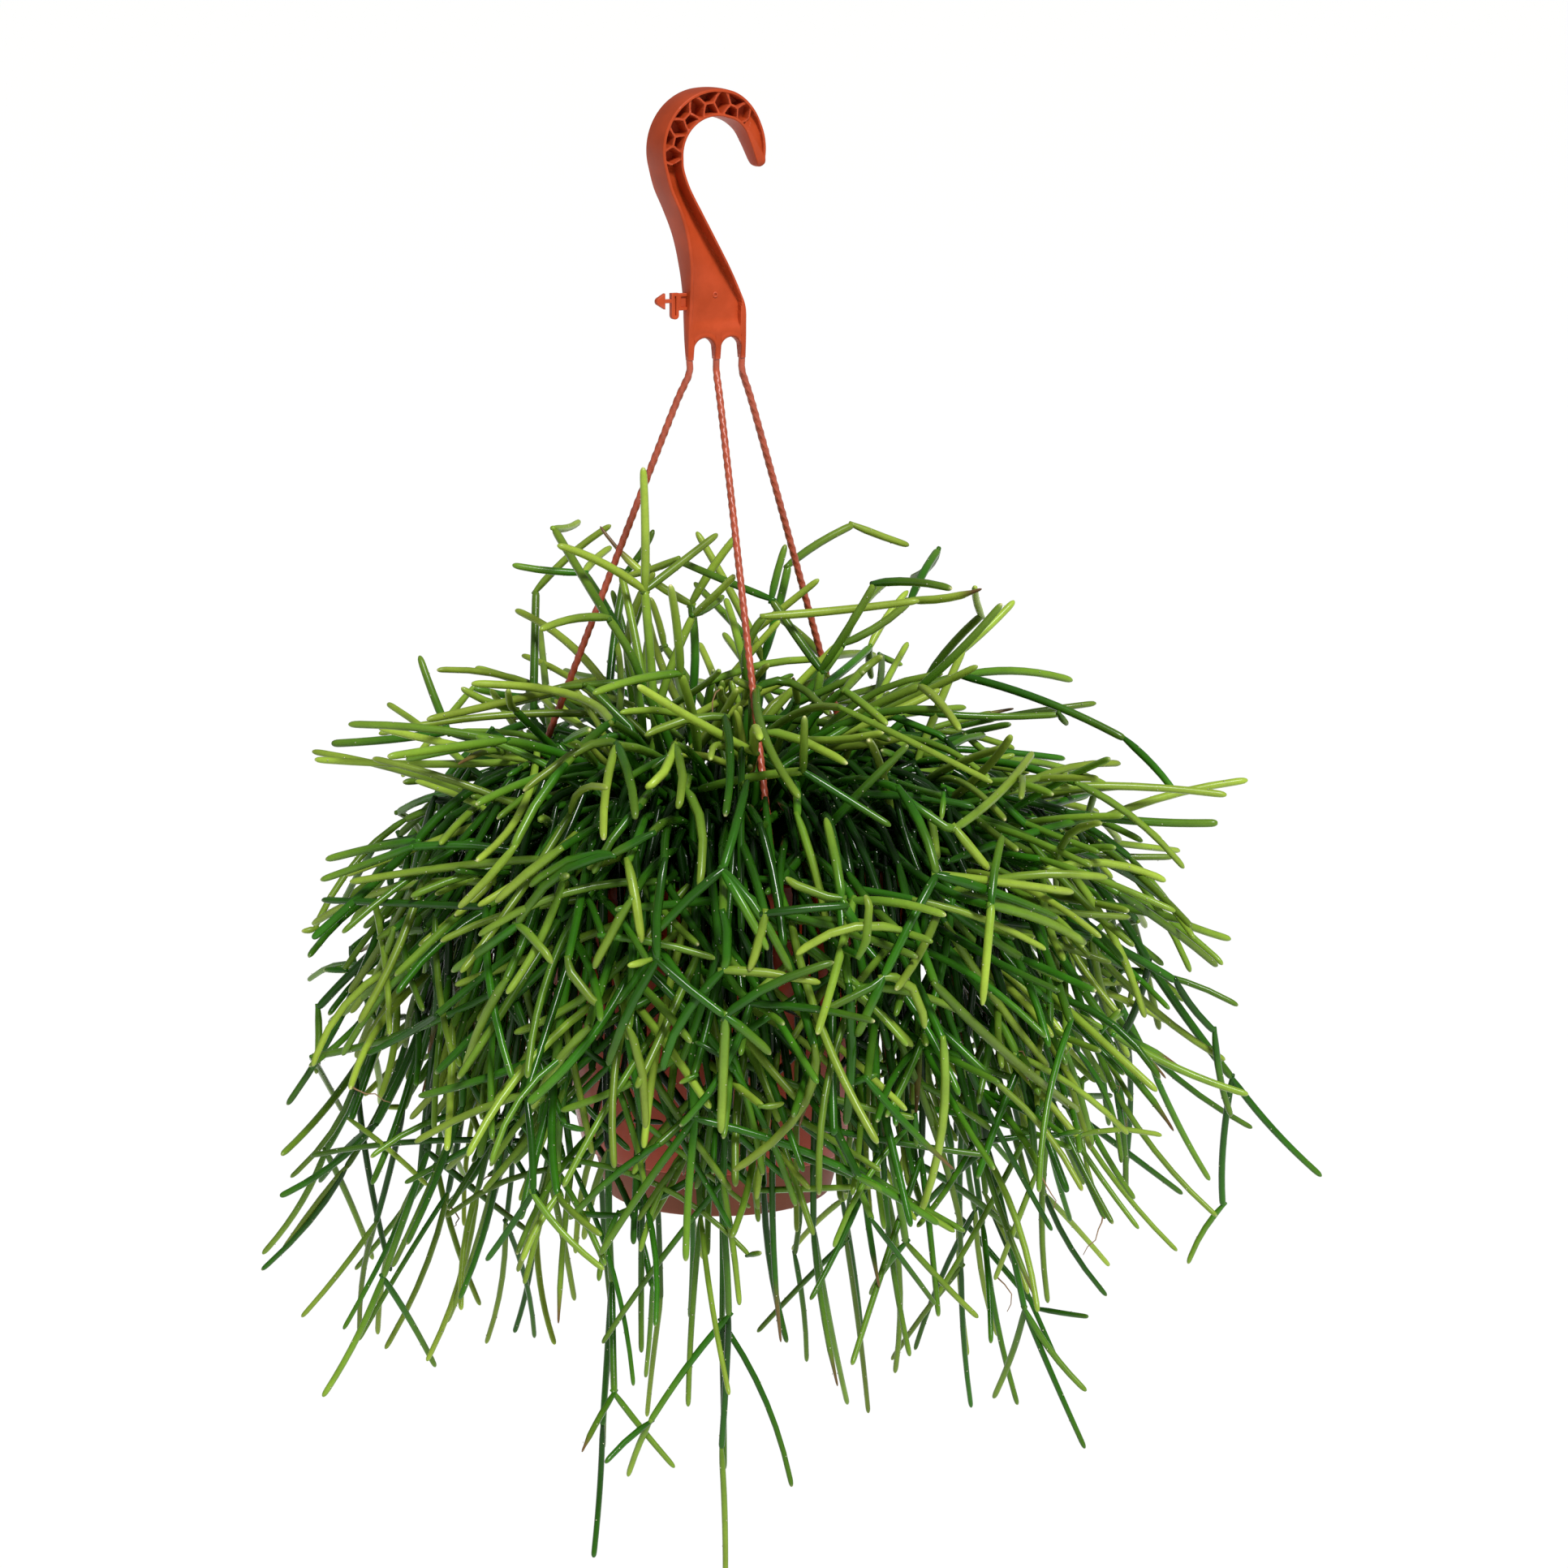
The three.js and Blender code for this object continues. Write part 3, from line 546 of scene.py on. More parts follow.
INNER_SHANK = ((-16.2, -18.9), (-13.8, -25.5), (-9.4, -33.5), (-4.9, -40.9), (3.9, -55.5),
               (8.4, -63.5), (11.1, -69.5), (11.8, -76), (12.0, PLATE_Z))
ARCH_TOP_Z = PLATE_Z + 2
STRETCH_Z = -74  # rows below this stretch to the legs and arches
# Half the thickness by height, mm; 1.0 stands for the bow's own.
HALF_DEPTHS = ((LEG_END_Z, 1.35), (PLATE_Z, 1.9), (-66, 3.2), (-53.6, 5.2), (-46, 5.9),
               (-34, 1.0), (20, 1.0))
TIP_THINNING = (4.4, 17.5, 0.45)  # from u to u the depth falls to this share
TIP_Z = -28  # the tip's own rules hold above this
TIP_END_U = 12  # and its end lies past this
WEB = 1.4  # thickness of the web between the two faces' pockets
EDGE = 1.05  # width of the raised edges
EDGE_ROUND = 0.55
WALL_CROWN = 0.35  # how far the side walls bulge
DRAFT = 0.4  # run of the slope down into a pocket
BOW_SINK = 0.55  # the ribs stand this far below the raised edges
RIB = 0.7  # width of the honeycomb's ribs
CELL_COUNT = 9  # every other place has one full cell, the others two cut ones
CELL_ANGLES = (182, 50)  # first and last cell round the bow, degrees
FAR = 99.0  # farther off than anything on the hook
LABEL_Z = -66.9
PIP = (-1.0, -65.2, 0.8, 0.36)  # u, z, radius and half thickness of the gate's ring


def arc(circle, start, end, count):
    """Points of a circle from one angle to another, degrees."""
    u, z, r = circle
    angles = np.radians(np.linspace(start, end, count))
    return np.stack([u + r * np.cos(angles), z + r * np.sin(angles)], axis=1)


def on_circle(circle, angle):
    """The point of a circle at an angle, degrees."""
    return arc(circle, angle, angle, 1)[0]


def spline(points, count, before=None):
    """Points of an even curve through given points, by equal lengths, that comes from before."""
    points = np.asarray(points, float)
    before = 2 * points[0] - points[1] if before is None else before
    padded = np.vstack([before, points, 2 * points[-1] - points[-2]])
    dense = []
    for a, b, c, d in zip(padded, padded[1:], padded[2:], padded[3:]):
        for t in np.linspace(0, 1, 24, endpoint=False):
            dense.append(0.5 * (2 * b + (c - a) * t + (2 * a - 5 * b + 4 * c - d) * t ** 2
                                + (3 * b - a - 3 * c + d) * t ** 3))
    dense.append(points[-1])
    return by_length(dense, np.linspace(0, 1, count))


def by_length(points, shares):
    """The points of a line at shares of its length."""
    points = np.asarray(points, float)
    lengths = np.concatenate([[0], np.cumsum(np.linalg.norm(np.diff(points, axis=0), axis=1))])
    places = np.asarray(shares) * lengths[-1]
    return np.stack([np.interp(places, lengths, points[:, i]) for i in range(points.shape[1])], 1)


def hook_edges():
    """The outer and the inner edge of the hook from its tip to its foot, matched row by row."""
    cap, tip_rows, bend_rows, bow_rows, shank_rows = 9, 15, 66, 143, 129
    tip, tip_outer, tip_inner = TIP_CAP
    bend_start, shank_start = CROWN_ARC
    throat_start, throat_end = THROAT_ARC
    outer = np.vstack([
        arc(TIP, tip, tip_outer, cap),
        spline(np.vstack([on_circle(TIP, tip_outer), arc(CROWN, -bend_start, bend_start, 5)]),
               tip_rows + 1)[1:],
        arc(CROWN, bend_start, shank_start, bend_rows + bow_rows + 1)[1:],
        spline(np.vstack([on_circle(CROWN, shank_start), OUTER_SHANK]), shank_rows + 1,
               on_circle(CROWN, shank_start - RUN_OUT))[1:],
    ])
    bend = spline(np.vstack([on_circle(TIP, tip_inner), TIP_INNER, on_circle(THROAT, throat_start)]), 200)
    tip_share = 0.36  # of the straighter tip's length
    shares = np.concatenate([np.linspace(0, tip_share, tip_rows + 1),
                             np.linspace(tip_share, 1, bend_rows + 1)[1:]])
    inner = np.vstack([
        arc(TIP, tip, tip_inner, cap),
        by_length(bend, shares)[1:],
        arc(THROAT, throat_start, throat_end, bow_rows + 1)[1:],
        spline(np.vstack([on_circle(THROAT, throat_end), INNER_SHANK]), shank_rows + 1,
               on_circle(THROAT, throat_end - RUN_OUT))[1:],
    ])
    return outer, inner


def arches():
    """The two round arches between the three legs: their middles and their radii."""
    return [((a + b) / 2, (b - a) / 2 - LEG_WIDTH / 2) for a, b in zip(LEGS, LEGS[1:])]


def foot_z(u):
    """How low the plate reaches at u: three legs with two round arches between them."""
    low = np.full_like(u, LEG_END_Z)
    for middle, r in arches():
        off = np.abs(u - middle)
        arch = ARCH_TOP_Z - r + np.sqrt(np.maximum(r * r - off * off, 0))
        low = np.where(off < r, arch, low)
    return low


def arch_distance(u, z):
    """Distance from the nearer arch."""
    found = np.full_like(u, FAR)
    for middle, r in arches():
        off = np.hypot(u - middle, np.maximum(z - (ARCH_TOP_Z - r), 0)) - r
        found = np.minimum(found, off)
    return found


def rib_distance(u, z):
    """Distance from the middle line of the nearest rib of the bow's honeycomb."""
    centre_u, centre_z = (THROAT[0] + CROWN[0]) / 2, (THROAT[1] + CROWN[1]) / 2
    middle = (THROAT[2] + CROWN[2]) / 2
    angle = np.degrees(np.arctan2(z - centre_z, u - centre_u)) % 360
    radial = np.hypot(u - centre_u, z - centre_z) - middle
    first, last = CELL_ANGLES
    step = (first - last) / (CELL_COUNT - 1)
    size = math.radians(step) * middle * 2 / 3  # corner radius of a full cell
    nearest = np.full_like(u, FAR)
    second = nearest.copy()
    for k in range(-1, CELL_COUNT + 1):
        odd = k % 2
        for side in ((-1, 1) if odd else (0,)):
            x = np.radians(angle - (first - k * step)) * middle
            y = radial - side * size * math.sqrt(3) / 2
            reach = np.hypot(x, y)
            second = np.minimum(np.maximum(nearest, reach), second)
            nearest = np.minimum(nearest, reach)
    margin = step * 0.62  # the honeycomb ends this far past its last cells' middles
    past = np.maximum(angle - (first + margin), (last - margin) - angle)
    return np.where(past > 0, -math.radians(1) * past * middle, (second - nearest) / 2)


def hook_height(u, z, d_outer, d_inner, width, half_depth):
    """Height of the hook's face above its middle plane."""
    heights, shares = zip(*HALF_DEPTHS)
    shares = [half_depth * s if s == 1.0 else s for s in shares]
    half = np.interp(z, heights, shares)
    low_u, high_u, least = TIP_THINNING
    half *= np.where(z > TIP_Z, np.interp(u, [low_u, high_u], [1, least]), 1)
    # the tip's end is rounded through its depth too
    past = np.where(u > TIP_END_U, np.clip((TIP[1] + 1.2 - z) / 3.4, 0, 1), 0)
    half *= np.where(z > TIP_Z, np.sqrt(1 - 0.9 * past ** 2), 1)
    d = np.minimum(d_outer, d_inner)
    ribs = rib_distance(u, z)
    in_bow = (z > -20) & ((u < 9) | (z > -9))
    inside = smooth_step(d, EDGE, EDGE + DRAFT)
    # ribs of the honeycomb and the cells between them, sunk from the raised edges
    cells = np.where(in_bow, smooth_step(ribs, RIB / 2, RIB / 2 + DRAFT), 0)
    bow = np.where(in_bow & (ribs > 0), np.maximum(BOW_SINK, cells * (half - WEB / 2)), 0)
    # the shank's channel slopes down from the outer edge to the wall of the inner one
    across = np.clip((d_outer - EDGE) / np.maximum(width - 2 * EDGE, 0.5), 0, 1)
    slope = 0.16 + 0.84 * across ** 0.7
    shank = np.where((u < 9) & (~in_bow | (ribs <= 0)), 1, 0) * smooth_step(z, -79, -74)
    trough = shank * slope * np.maximum(half - WEB / 2, 0)
    # the tip's channel slopes the other way and runs out in a line beside the outer edge
    room = np.interp(z, [-16.5, -4], [3.4, 0.0])
    tip_slope = np.clip(1 - (d_outer - EDGE) / np.maximum(width - 2 * EDGE - room, 0.4), 0, 1)
    tip = ((u > 5) & (z > -16.6) & (ribs <= 0)) * smooth_step(z, -16.4, -13)
    tip_trough = tip * tip_slope * np.maximum(half - WEB / 2 - 1, 0)
    height = half - inside * np.maximum.reduce([bow, trough, tip_trough])
    # rounded rims along the sides and round the arches
    rim = np.minimum(EDGE_ROUND, width / 2)
    drop = rim - np.sqrt(np.maximum(rim ** 2 - np.maximum(rim - d, 0) ** 2, 0))
    near = arch_distance(u, z)
    bead = 0.3 * smooth_step(-near, -1.7, -1.3)
    arch_rim = 0.5 - np.sqrt(np.maximum(0.25 - np.clip(0.5 - near, 0, 0.5) ** 2, 0))
    return height - drop + bead - np.where(near < 0.5, arch_rim, 0)


def hook_columns():
    """Places across the hook, closer at its edges and exactly on the sides of the legs."""
    even = np.linspace(0, 1, 49)
    places = list(0.55 * even + 0.45 * (1 - np.cos(math.pi * even)) / 2)
    left, right = OUTER_SHANK[-1][0], INNER_SHANK[-1][0]
    hair = 0.0012  # to each side of a leg's edge
    for leg in LEGS:
        for side in (-1, 1):
            t = (leg + side * LEG_WIDTH / 2 - left) / (right - left)
            places += [t - hair, t + hair]
    for middle, r in arches():
        round_arch = middle + r * np.cos(np.linspace(0.2, math.pi - 0.2, 15))
        places += list((round_arch - left) / (right - left))
    return np.unique(np.clip(places, 0, 1))


def hook_body(half_depth):
    """The hook's moulding: two faces in relief, joined by slightly crowned side walls."""
    outer, inner = hook_edges()
    columns = hook_columns()
    share = columns[None, :, None]
    rows = outer[:, None, :] * (1 - share) + inner[:, None, :] * share
    # the last rows stretch down to the legs and arches
    start = np.argmax(outer[:, 1] < STRETCH_Z)
    end_z = foot_z(rows[-1, :, 0])
    for k in range(start, len(rows)):
        share = ((k - start) / (len(rows) - 1 - start)) ** 0.9
        rows[k, :, 1] = rows[start, :, 1] * (1 - share) + end_z * share
    u, z = rows[..., 0], rows[..., 1]
    width = np.linalg.norm(outer - inner, axis=1)[:, None]
    d_outer, d_inner = columns[None, :] * width, (1 - columns[None, :]) * width
    height = hook_height(u, z, d_outer, d_inner, width, half_depth)
    across = (outer - inner) / np.maximum(width, 1e-6)
    levels = np.linspace(1, -1, 11)[1:-1]
    rings = []
    for k in range(len(rows)):
        face = np.stack([u[k], -height[k], z[k]], axis=1)
        back = face[::-1] * np.array([1, -1, 1])
        bulge = WALL_CROWN * (1 - levels ** 2) * min(1, width[k, 0] / 4)
        lower = smooth_step(z[k, 0], -84, -76)
        walls = []
        for edge, side, first in ((face[-1], -across[k], face[-1, 1]), (face[0], across[k], -face[0, 1])):
            out = side[None, :] * bulge[:, None] * lower
            walls.append(np.stack([edge[0] + out[:, 0], first * levels, edge[2] + out[:, 1]], axis=1))
        rings.append(np.vstack([face, walls[0], back, walls[1]]))
    loop = len(rings[0])
    faces = ring_faces(len(rings), loop)
    last = (len(rings) - 1) * loop
    n, w = len(columns), len(levels)
    for i in range(n - 1):
        faces.append((last + i, last + i + 1, last + 2 * n + w - 2 - i, last + 2 * n + w - 1 - i))
    faces.append(tuple(last + n - 1 + i for i in range(w + 2)))
    faces.append(tuple(last + 2 * n + w - 1 + i for i in range(w + 1)) + (last,))
    return {"vertices": np.vstack(rings), "faces": faces}


def cut_plate(name, outlines, half, bevel):
    """A flat moulding with rounded rims, from outlines in the hook's plane."""
    curve = bpy.data.curves.new(name, "CURVE")
    curve.dimensions = "2D"
    curve.fill_mode = "BOTH"
    curve.extrude = half - bevel
    curve.bevel_depth = bevel
    curve.bevel_resolution = 2
    curve.offset = -bevel
    for outline in outlines:
        line = curve.splines.new("POLY")
        line.points.add(len(outline) - 1)
        line.points.foreach_set("co", [c for u, z in outline for c in (u, z, 0, 1)])
        line.use_cyclic_u = True
    holder = bpy.data.objects.new(name, curve)
    bpy.context.scene.collection.objects.link(holder)
    bpy.context.view_layer.update()
    mesh = bpy.data.meshes.new_from_object(holder)
    vertices = [(v.co.x, -v.co.z, v.co.y) for v in mesh.vertices]
    faces = [tuple(face.vertices) for face in mesh.polygons]
    bpy.data.objects.remove(holder)
    bpy.data.curves.remove(curve)
    bpy.data.meshes.remove(mesh)
    return {"vertices": vertices, "faces": faces}


def rectangle(right, left, top, bottom):
    """The outline of a rectangle in the hook's plane."""
    return [(right, top), (left, top), (left, bottom), (right, bottom)]


def label_clip():
    """The spare label clip: a square loop, a paddle with a groove, a stem and an arrow head."""
    loop = [rectangle(-10.3, -16.2, -64.2, -70.5), rectangle(-11.6, -14.9, -65.4, -69.3)]
    round_foot = [tuple(p) for p in arc((-17.3, -72.2, 1.5), 180, 360, 12)]
    paddle = [[(-15.8, -64.0), (-18.8, -64.0), *round_foot], rectangle(-16.95, -17.5, -65.2, -72.2)]
    nose = [tuple(p) for p in arc((-23.5, LABEL_Z, 1.5), 235, 125, 9)]
    head = [(-21.4, -67.5), (-21.4, -69.9), *nose, (-21.4, -64.0), (-21.4, -66.3)]
    thick, thin = 1.1, 0.3
    return [
        cut_plate("loop", loop, thick, 0.25),
        cut_plate("paddle", paddle, thick, 0.2),
        cut_plate("head", [head], thick, 0.3),
        cut_plate("stem", [rectangle(-18.5, -21.7, -66.2, -67.6)], thick - 0.1, 0.25),
        cut_plate("pane", [rectangle(-11.5, -15.0, -65.3, -69.4)], thin, 0.1),
        cut_plate("bed", [rectangle(-16.6, -17.8, -65.0, -72.5)], thin, 0.1),
    ]


def gate_pip(front):
    """The little ring that the mould's gate leaves on the plate."""
    u, z, r, thick = PIP
    count, sides = 20, 8
    vertices = []
    for a in np.linspace(0, 2 * math.pi, count + 1)[:-1]:
        for b in np.arange(sides) * 2 * math.pi / sides:
            out = r + thick * math.cos(b)
            vertices.append((u + out * math.cos(a), front - thick * math.sin(b), z + out * math.sin(a)))
    return {"vertices": vertices, "faces": ring_faces(count, sides, looped=True)}


class CACTUS_OT_hook(bpy.types.Operator):
    """Builds the hook with its ribbed recesses, its plate and the label clip"""

    bl_idname = "cactus.hook"
    bl_label = "Hook"

    def execute(self, context):
        settings = context.scene.cactus_hanger
        body = hook_body(settings.depth / MM / 2)
        u, y, z = body["vertices"].T
        face = np.where(y < 0, np.hypot(u - PIP[0], z - PIP[1]), FAR)
        parts = [body, gate_pip(y[np.argmin(face)]), *label_clip()]
        for part in parts:
            part["vertices"] = spun(part["vertices"], settings.yaw)
        plastic = once("moulded_polypropylene_satin", moulded_polypropylene, settings.colour,
                       roughness=0.46, marks=14, edge_light=0.55, shine=0.18)
        tidy_mesh(make_piece("fine_hook", parts, [plastic], ["hook"]), sharp=50)
        return {"FINISHED"}


# ---------- the strands ----------
STRAND_STEP = 0.95  # length between two rings of a strand
STRAND_SIDES = 21
SMOOTH_NECK = 3.0  # length without plies under the leg
NECK_RISE = 1.6  # how far a strand reaches up into its leg
PLY_RISE, PLY_SINK = 0.36, 0.24  # shares of the radius by which the plies swell it


def catmull_rom(points, t):
    """A point of the centripetal Catmull-Rom curve through points, t from 0 to 1."""
    last = len(points) - 1
    p = last * t
    k = min(int(math.floor(p)), last - 1)
    weight = p - k
    p1, p2 = points[k], points[k + 1]
    p0 = points[k - 1] if k > 0 else 2 * points[0] - points[1]
    p3 = points[k + 2] if k + 2 <= last else 2 * points[last] - points[last - 1]
    gaps = [((b - a).dot(b - a)) ** 0.25 for a, b in ((p0, p1), (p1, p2), (p2, p3))]
    d0, d1, d2 = gaps
    t1 = ((p1 - p0) / d0 - (p2 - p0) / (d0 + d1) + (p2 - p1) / d1) * d1
    t2 = ((p2 - p1) / d1 - (p3 - p1) / (d1 + d2) + (p3 - p2) / d2) * d1
    c2 = -3 * p1 + 3 * p2 - 2 * t1 - t2
    c3 = 2 * p1 - 2 * p2 + t1 + t2
    return p1 + t1 * weight + c2 * weight ** 2 + c3 * weight ** 3


def even_points(point_at, count):
    """Points at equal lengths of a curve, and its length."""
    places = np.linspace(0, 1, 201)
    dense = np.array([point_at(t) for t in places])
    lengths = np.concatenate([[0], np.cumsum(np.linalg.norm(np.diff(dense, axis=0), axis=1))])
    wanted = np.interp(np.linspace(0, lengths[-1], count + 1), lengths, places)
    return [point_at(t) for t in wanted], lengths[-1]


def strand_route(k, yaw):
    """The points that a strand's middle line passes, from its leg to below the rim."""
    start = from_axis(LEGS[k], yaw, LEG_END_Z - GAP)
    hole = from_axis(STRAND_CIRCLE, math.radians(STRAND_ANGLES[k]), RIM_Z)
    return [
        start, start - 4 * UP, start + (hole - start) * 0.07 - 2.5 * UP,
        hole + (start - hole) * 0.045 + 1.5 * UP, hole + 2.5 * UP, hole - (FLANGE + 1) * UP,
    ]


def strand_part(k, settings):
    """One strand: three plies laid round each other, smooth for the first few millimetres."""
    route = strand_route(k, settings.yaw)
    length = even_points(lambda t: catmull_rom(route, t), 1)[1]
    pitch, radius = settings.strand_pitch / MM, settings.strand_radius / MM
    count = int(length / STRAND_STEP)
    step = length / count
    points = even_points(lambda t: catmull_rom(route, t), count)[0]
    points = [points[0] + NECK_RISE * UP] + points

    def lobes(ring, angles):
        at = ring * step
        ropy = min(max((at - SMOOTH_NECK) / 4, 0), 1)
        turn = 2 * math.pi * at / pitch + 0.7 * k
        ply = np.abs(np.cos(1.5 * (angles + turn)))
        return 1 + ropy * (PLY_RISE * ply - PLY_SINK)

    return tube(points, np.full(len(points), radius), STRAND_SIDES, lobes), points[-1]


def barb(k, foot):
    """The arrow-shaped end that snaps through the rim's hole."""
    part = cut_plate("barb", [[(-2.3, 0), (2.3, 0), (0.6, -4.4), (-0.6, -4.4)]], 0.9, 0.25)
    turned_round = spun(part["vertices"], math.radians(STRAND_ANGLES[k] + 90))
    part["vertices"] = turned_round + foot + 0.7 * UP
    return part


class CACTUS_OT_strands(bpy.types.Operator):
    """Builds the three moulded strands with their barbed ends"""

    bl_idname = "cactus.strands"
    bl_label = "Strands"

    def execute(self, context):
        settings = context.scene.cactus_hanger
        # painted highlight: the strands' plastic is set paler than the hook's, and its edges get a stronger
        # edge_light, for the sheen that washes the thin strands out
        plastic = once("moulded_polypropylene_strand", moulded_polypropylene, linear("#A84A2E"),
                       roughness=0.34, marks=6, edge_light=0.9)
        for k, node in enumerate(STRAND_NODES):
            rope, foot = strand_part(k, settings)
            make_piece("fine_" + node, [rope, barb(k, foot)], [plastic], [node], sharp=60)
        return {"FINISHED"}


# ---------- the pot and the saucer ----------
def wall_radius(z):
    """Radius of the pot's outer wall at a height."""
    return BASE_R + (z - BASE_Z) / (RIM_Z - BASE_Z) * (WALL_TOP_R - BASE_R)


def pot_profile():
    """The pot's section: tapered wall, skirted rim with a bead, foot ring and floor."""
    foot_low = POT_LOW[2]
    skirt_inner = RIM_R - WALL
    under_rim = RIM_Z - FLANGE
    shape = [
        (0, BASE_Z), (43, BASE_Z), (43, foot_low), (44.4, foot_low), (45.8, BASE_Z),
        (BASE_R, BASE_Z), (wall_radius(under_rim), under_rim), (skirt_inner, under_rim),
        (skirt_inner, SKIRT_Z), (RIM_R, SKIRT_Z), (RIM_R, SKIRT_Z + 2.2),
        (RIM_R - 0.45, SKIRT_Z + 2.8), (RIM_R - 0.3, RIM_Z), (WALL_TOP_R - WALL, RIM_Z),
        (wall_radius(FLOOR_Z) - WALL, FLOOR_Z), (0, FLOOR_Z),
    ]
    return rounded(shape, 0.8)


def finer(profile, step):
    """A profile with long stretches split, so that its walls shade evenly."""
    out = [profile[0]]
    for a, b in zip(profile, profile[1:]):
        pieces = max(1, int(math.dist(a, b) / step))
        run = np.array(b) - np.array(a)
        out += [tuple(np.array(a) + run * i / pieces) for i in range(1, pieces + 1)]
    return out


def cut_holes(piece, holes, sharp):
    """Cuts upright round holes: their middle, radius, low and high."""
    cutters = []
    for middle, r, low, high in holes:
        body = lathe([(0, low), (r, low), (r, high), (0, high)], 24)
        body["vertices"] = np.asarray(body["vertices"], float) + middle
        cutters.append(body)
    tool_mesh = bpy.data.meshes.new("holes")
    vertices, faces = joined(cutters)
    tool_mesh.from_pydata(vertices, [], faces)
    tool = bpy.data.objects.new("holes", tool_mesh)
    bpy.context.scene.collection.objects.link(tool)
    cut = piece.modifiers.new("holes", "BOOLEAN")
    cut.operation, cut.solver, cut.object = "DIFFERENCE", "EXACT", tool
    bpy.context.view_layer.update()
    done = bpy.data.meshes.new_from_object(piece.evaluated_get(bpy.context.evaluated_depsgraph_get()))
    piece.modifiers.remove(cut)
    old = piece.data
    piece.data = done
    done.name = piece.name
    bpy.data.meshes.remove(old)
    bpy.data.objects.remove(tool)
    bpy.data.meshes.remove(tool_mesh)
    shade(done, sharp)


class CACTUS_OT_pot(bpy.types.Operator):
    """Builds the tapered pot with its skirted rim, its strand holes and its drain holes"""

    bl_idname = "cactus.pot"
    bl_label = "Pot"

    def execute(self, context):
        settings = context.scene.cactus_pot
        gloss = once("moulded_polypropylene_gloss", moulded_polypropylene, settings.colour,
                     roughness=0.24, marks=45, edge_light=0.4, shine=0.28)
        body = lathe(finer(pot_profile(), 9), settings.facets)
        pot = make_piece("fine_pot", [body], [gloss], ["pot"])
        tidy_mesh(pot)
        strand_holes = [(from_axis(STRAND_CIRCLE, math.radians(degrees), 0), 2.1,
                         RIM_Z - FLANGE - 1, RIM_Z + 1) for degrees in STRAND_ANGLES]
        drain_holes = [(from_axis(26, k * math.pi / 3, 0), 4, BASE_Z - 1, BASE_Z + 3)
                       for k in range(6)]
        cut_holes(pot, strand_holes + drain_holes, sharp=40)
        return {"FINISHED"}


class CACTUS_OT_saucer(bpy.types.Operator):
    """Builds the clip-on saucer"""

    bl_idname = "cactus.saucer"
    bl_label = "Saucer"

    def execute(self, context):
        settings = context.scene.cactus_pot
        dull = once("moulded_polypropylene_matt", moulded_polypropylene, settings.saucer_colour,
                    roughness=0.55, marks=22, edge_light=0.4, shine=0.22)
        low, high, wide = SAUCER_LOW[2], SAUCER_HIGH[2], SAUCER_HIGH[0]
        wall, foot_r, step = 1.4, 43.2, 0.5  # step: how much the middle is raised
        shape = [
            (0, low + step), (30, low + step), (31, low), (foot_r, low), (wide, high - 1.2),
            (wide, high), (wide - wall, high), (foot_r - wall, low + wall), (30, low + wall),
            (29, low + wall + step), (0, low + wall + step),
        ]
        body = lathe(finer(rounded(shape, 0.9), 6), settings.facets)
        tidy_mesh(make_piece("fine_saucer", [body], [dull], ["saucer"]), sharp=50)
        return {"FINISHED"}


# ---------- seeded draws ----------
class Draws:
    """Numbers that look random but are the same on every run."""

    def __init__(self, seed):
        self.seed = seed

    def draw(self):
        """A number from 0 up to 1."""
        self.seed = (self.seed * 1664525 + 1013904223) % 4294967296
        return self.seed / 4294967296

    def between(self, low, high):
        """A number between two others."""
        return low + (high - low) * self.draw()

    def chance(self, share):
        """Whether a draw falls within a share of all draws."""
        return self.draw() < share


# ---------- the peat ----------
def peat_height(r):
    """Height of the peat at a distance from the axis."""
    return PEAT_EDGE_Z + PEAT_RISE * (1 - (r / PEAT_R) ** 2)


def crumb(x, y):
    """Rise and fall of the peat's crumbs at a place, mm."""
    waves = 0.0
    for size, high in ((23, 1.1), (9.1, 0.9), (4.3, 0.7), (2.2, 0.5)):
        waves += high * math.sin(x / size * 2.1 + 1.7 * math.sin(y / size * 1.3)) * math.cos(
            y / size * 1.9 + 1.3 * math.sin(x / size * 1.1))
    return waves


CUBE = [np.array([x, y, z], float) for x in (-1, 1) for y in (-1, 1) for z in (-1, 1)]
# The corners round each face's middle; the middles come after the corners.
CUBE_SIDES = (
    ((1, 0, 0), (4, 5, 7, 6)), ((-1, 0, 0), (0, 2, 3, 1)), ((0, 1, 0), (2, 6, 7, 3)),
    ((0, -1, 0), (0, 1, 5, 4)), ((0, 0, 1), (1, 3, 7, 5)), ((0, 0, -1), (0, 4, 6, 2)),
)


def nugget(at, size, draws, squash):
    """An irregular grain: a cube's corners and face middles pushed in and out."""
    points = [unit(corner) for corner in CUBE] + [np.array(middle, float) for middle, _ in CUBE_SIDES]
    turn = draws.between(0, 6.28)
    pushed = spun([p * size * draws.between(0.72, 1.12) for p in points], turn)
    faces = []
    for k, (_, ring) in enumerate(CUBE_SIDES):
        faces += [(ring[i], ring[(i + 1) % 4], len(CUBE) + k) for i in range(4)]
    return {"vertices": pushed * np.array([1, 1, squash]) + at, "faces": faces}


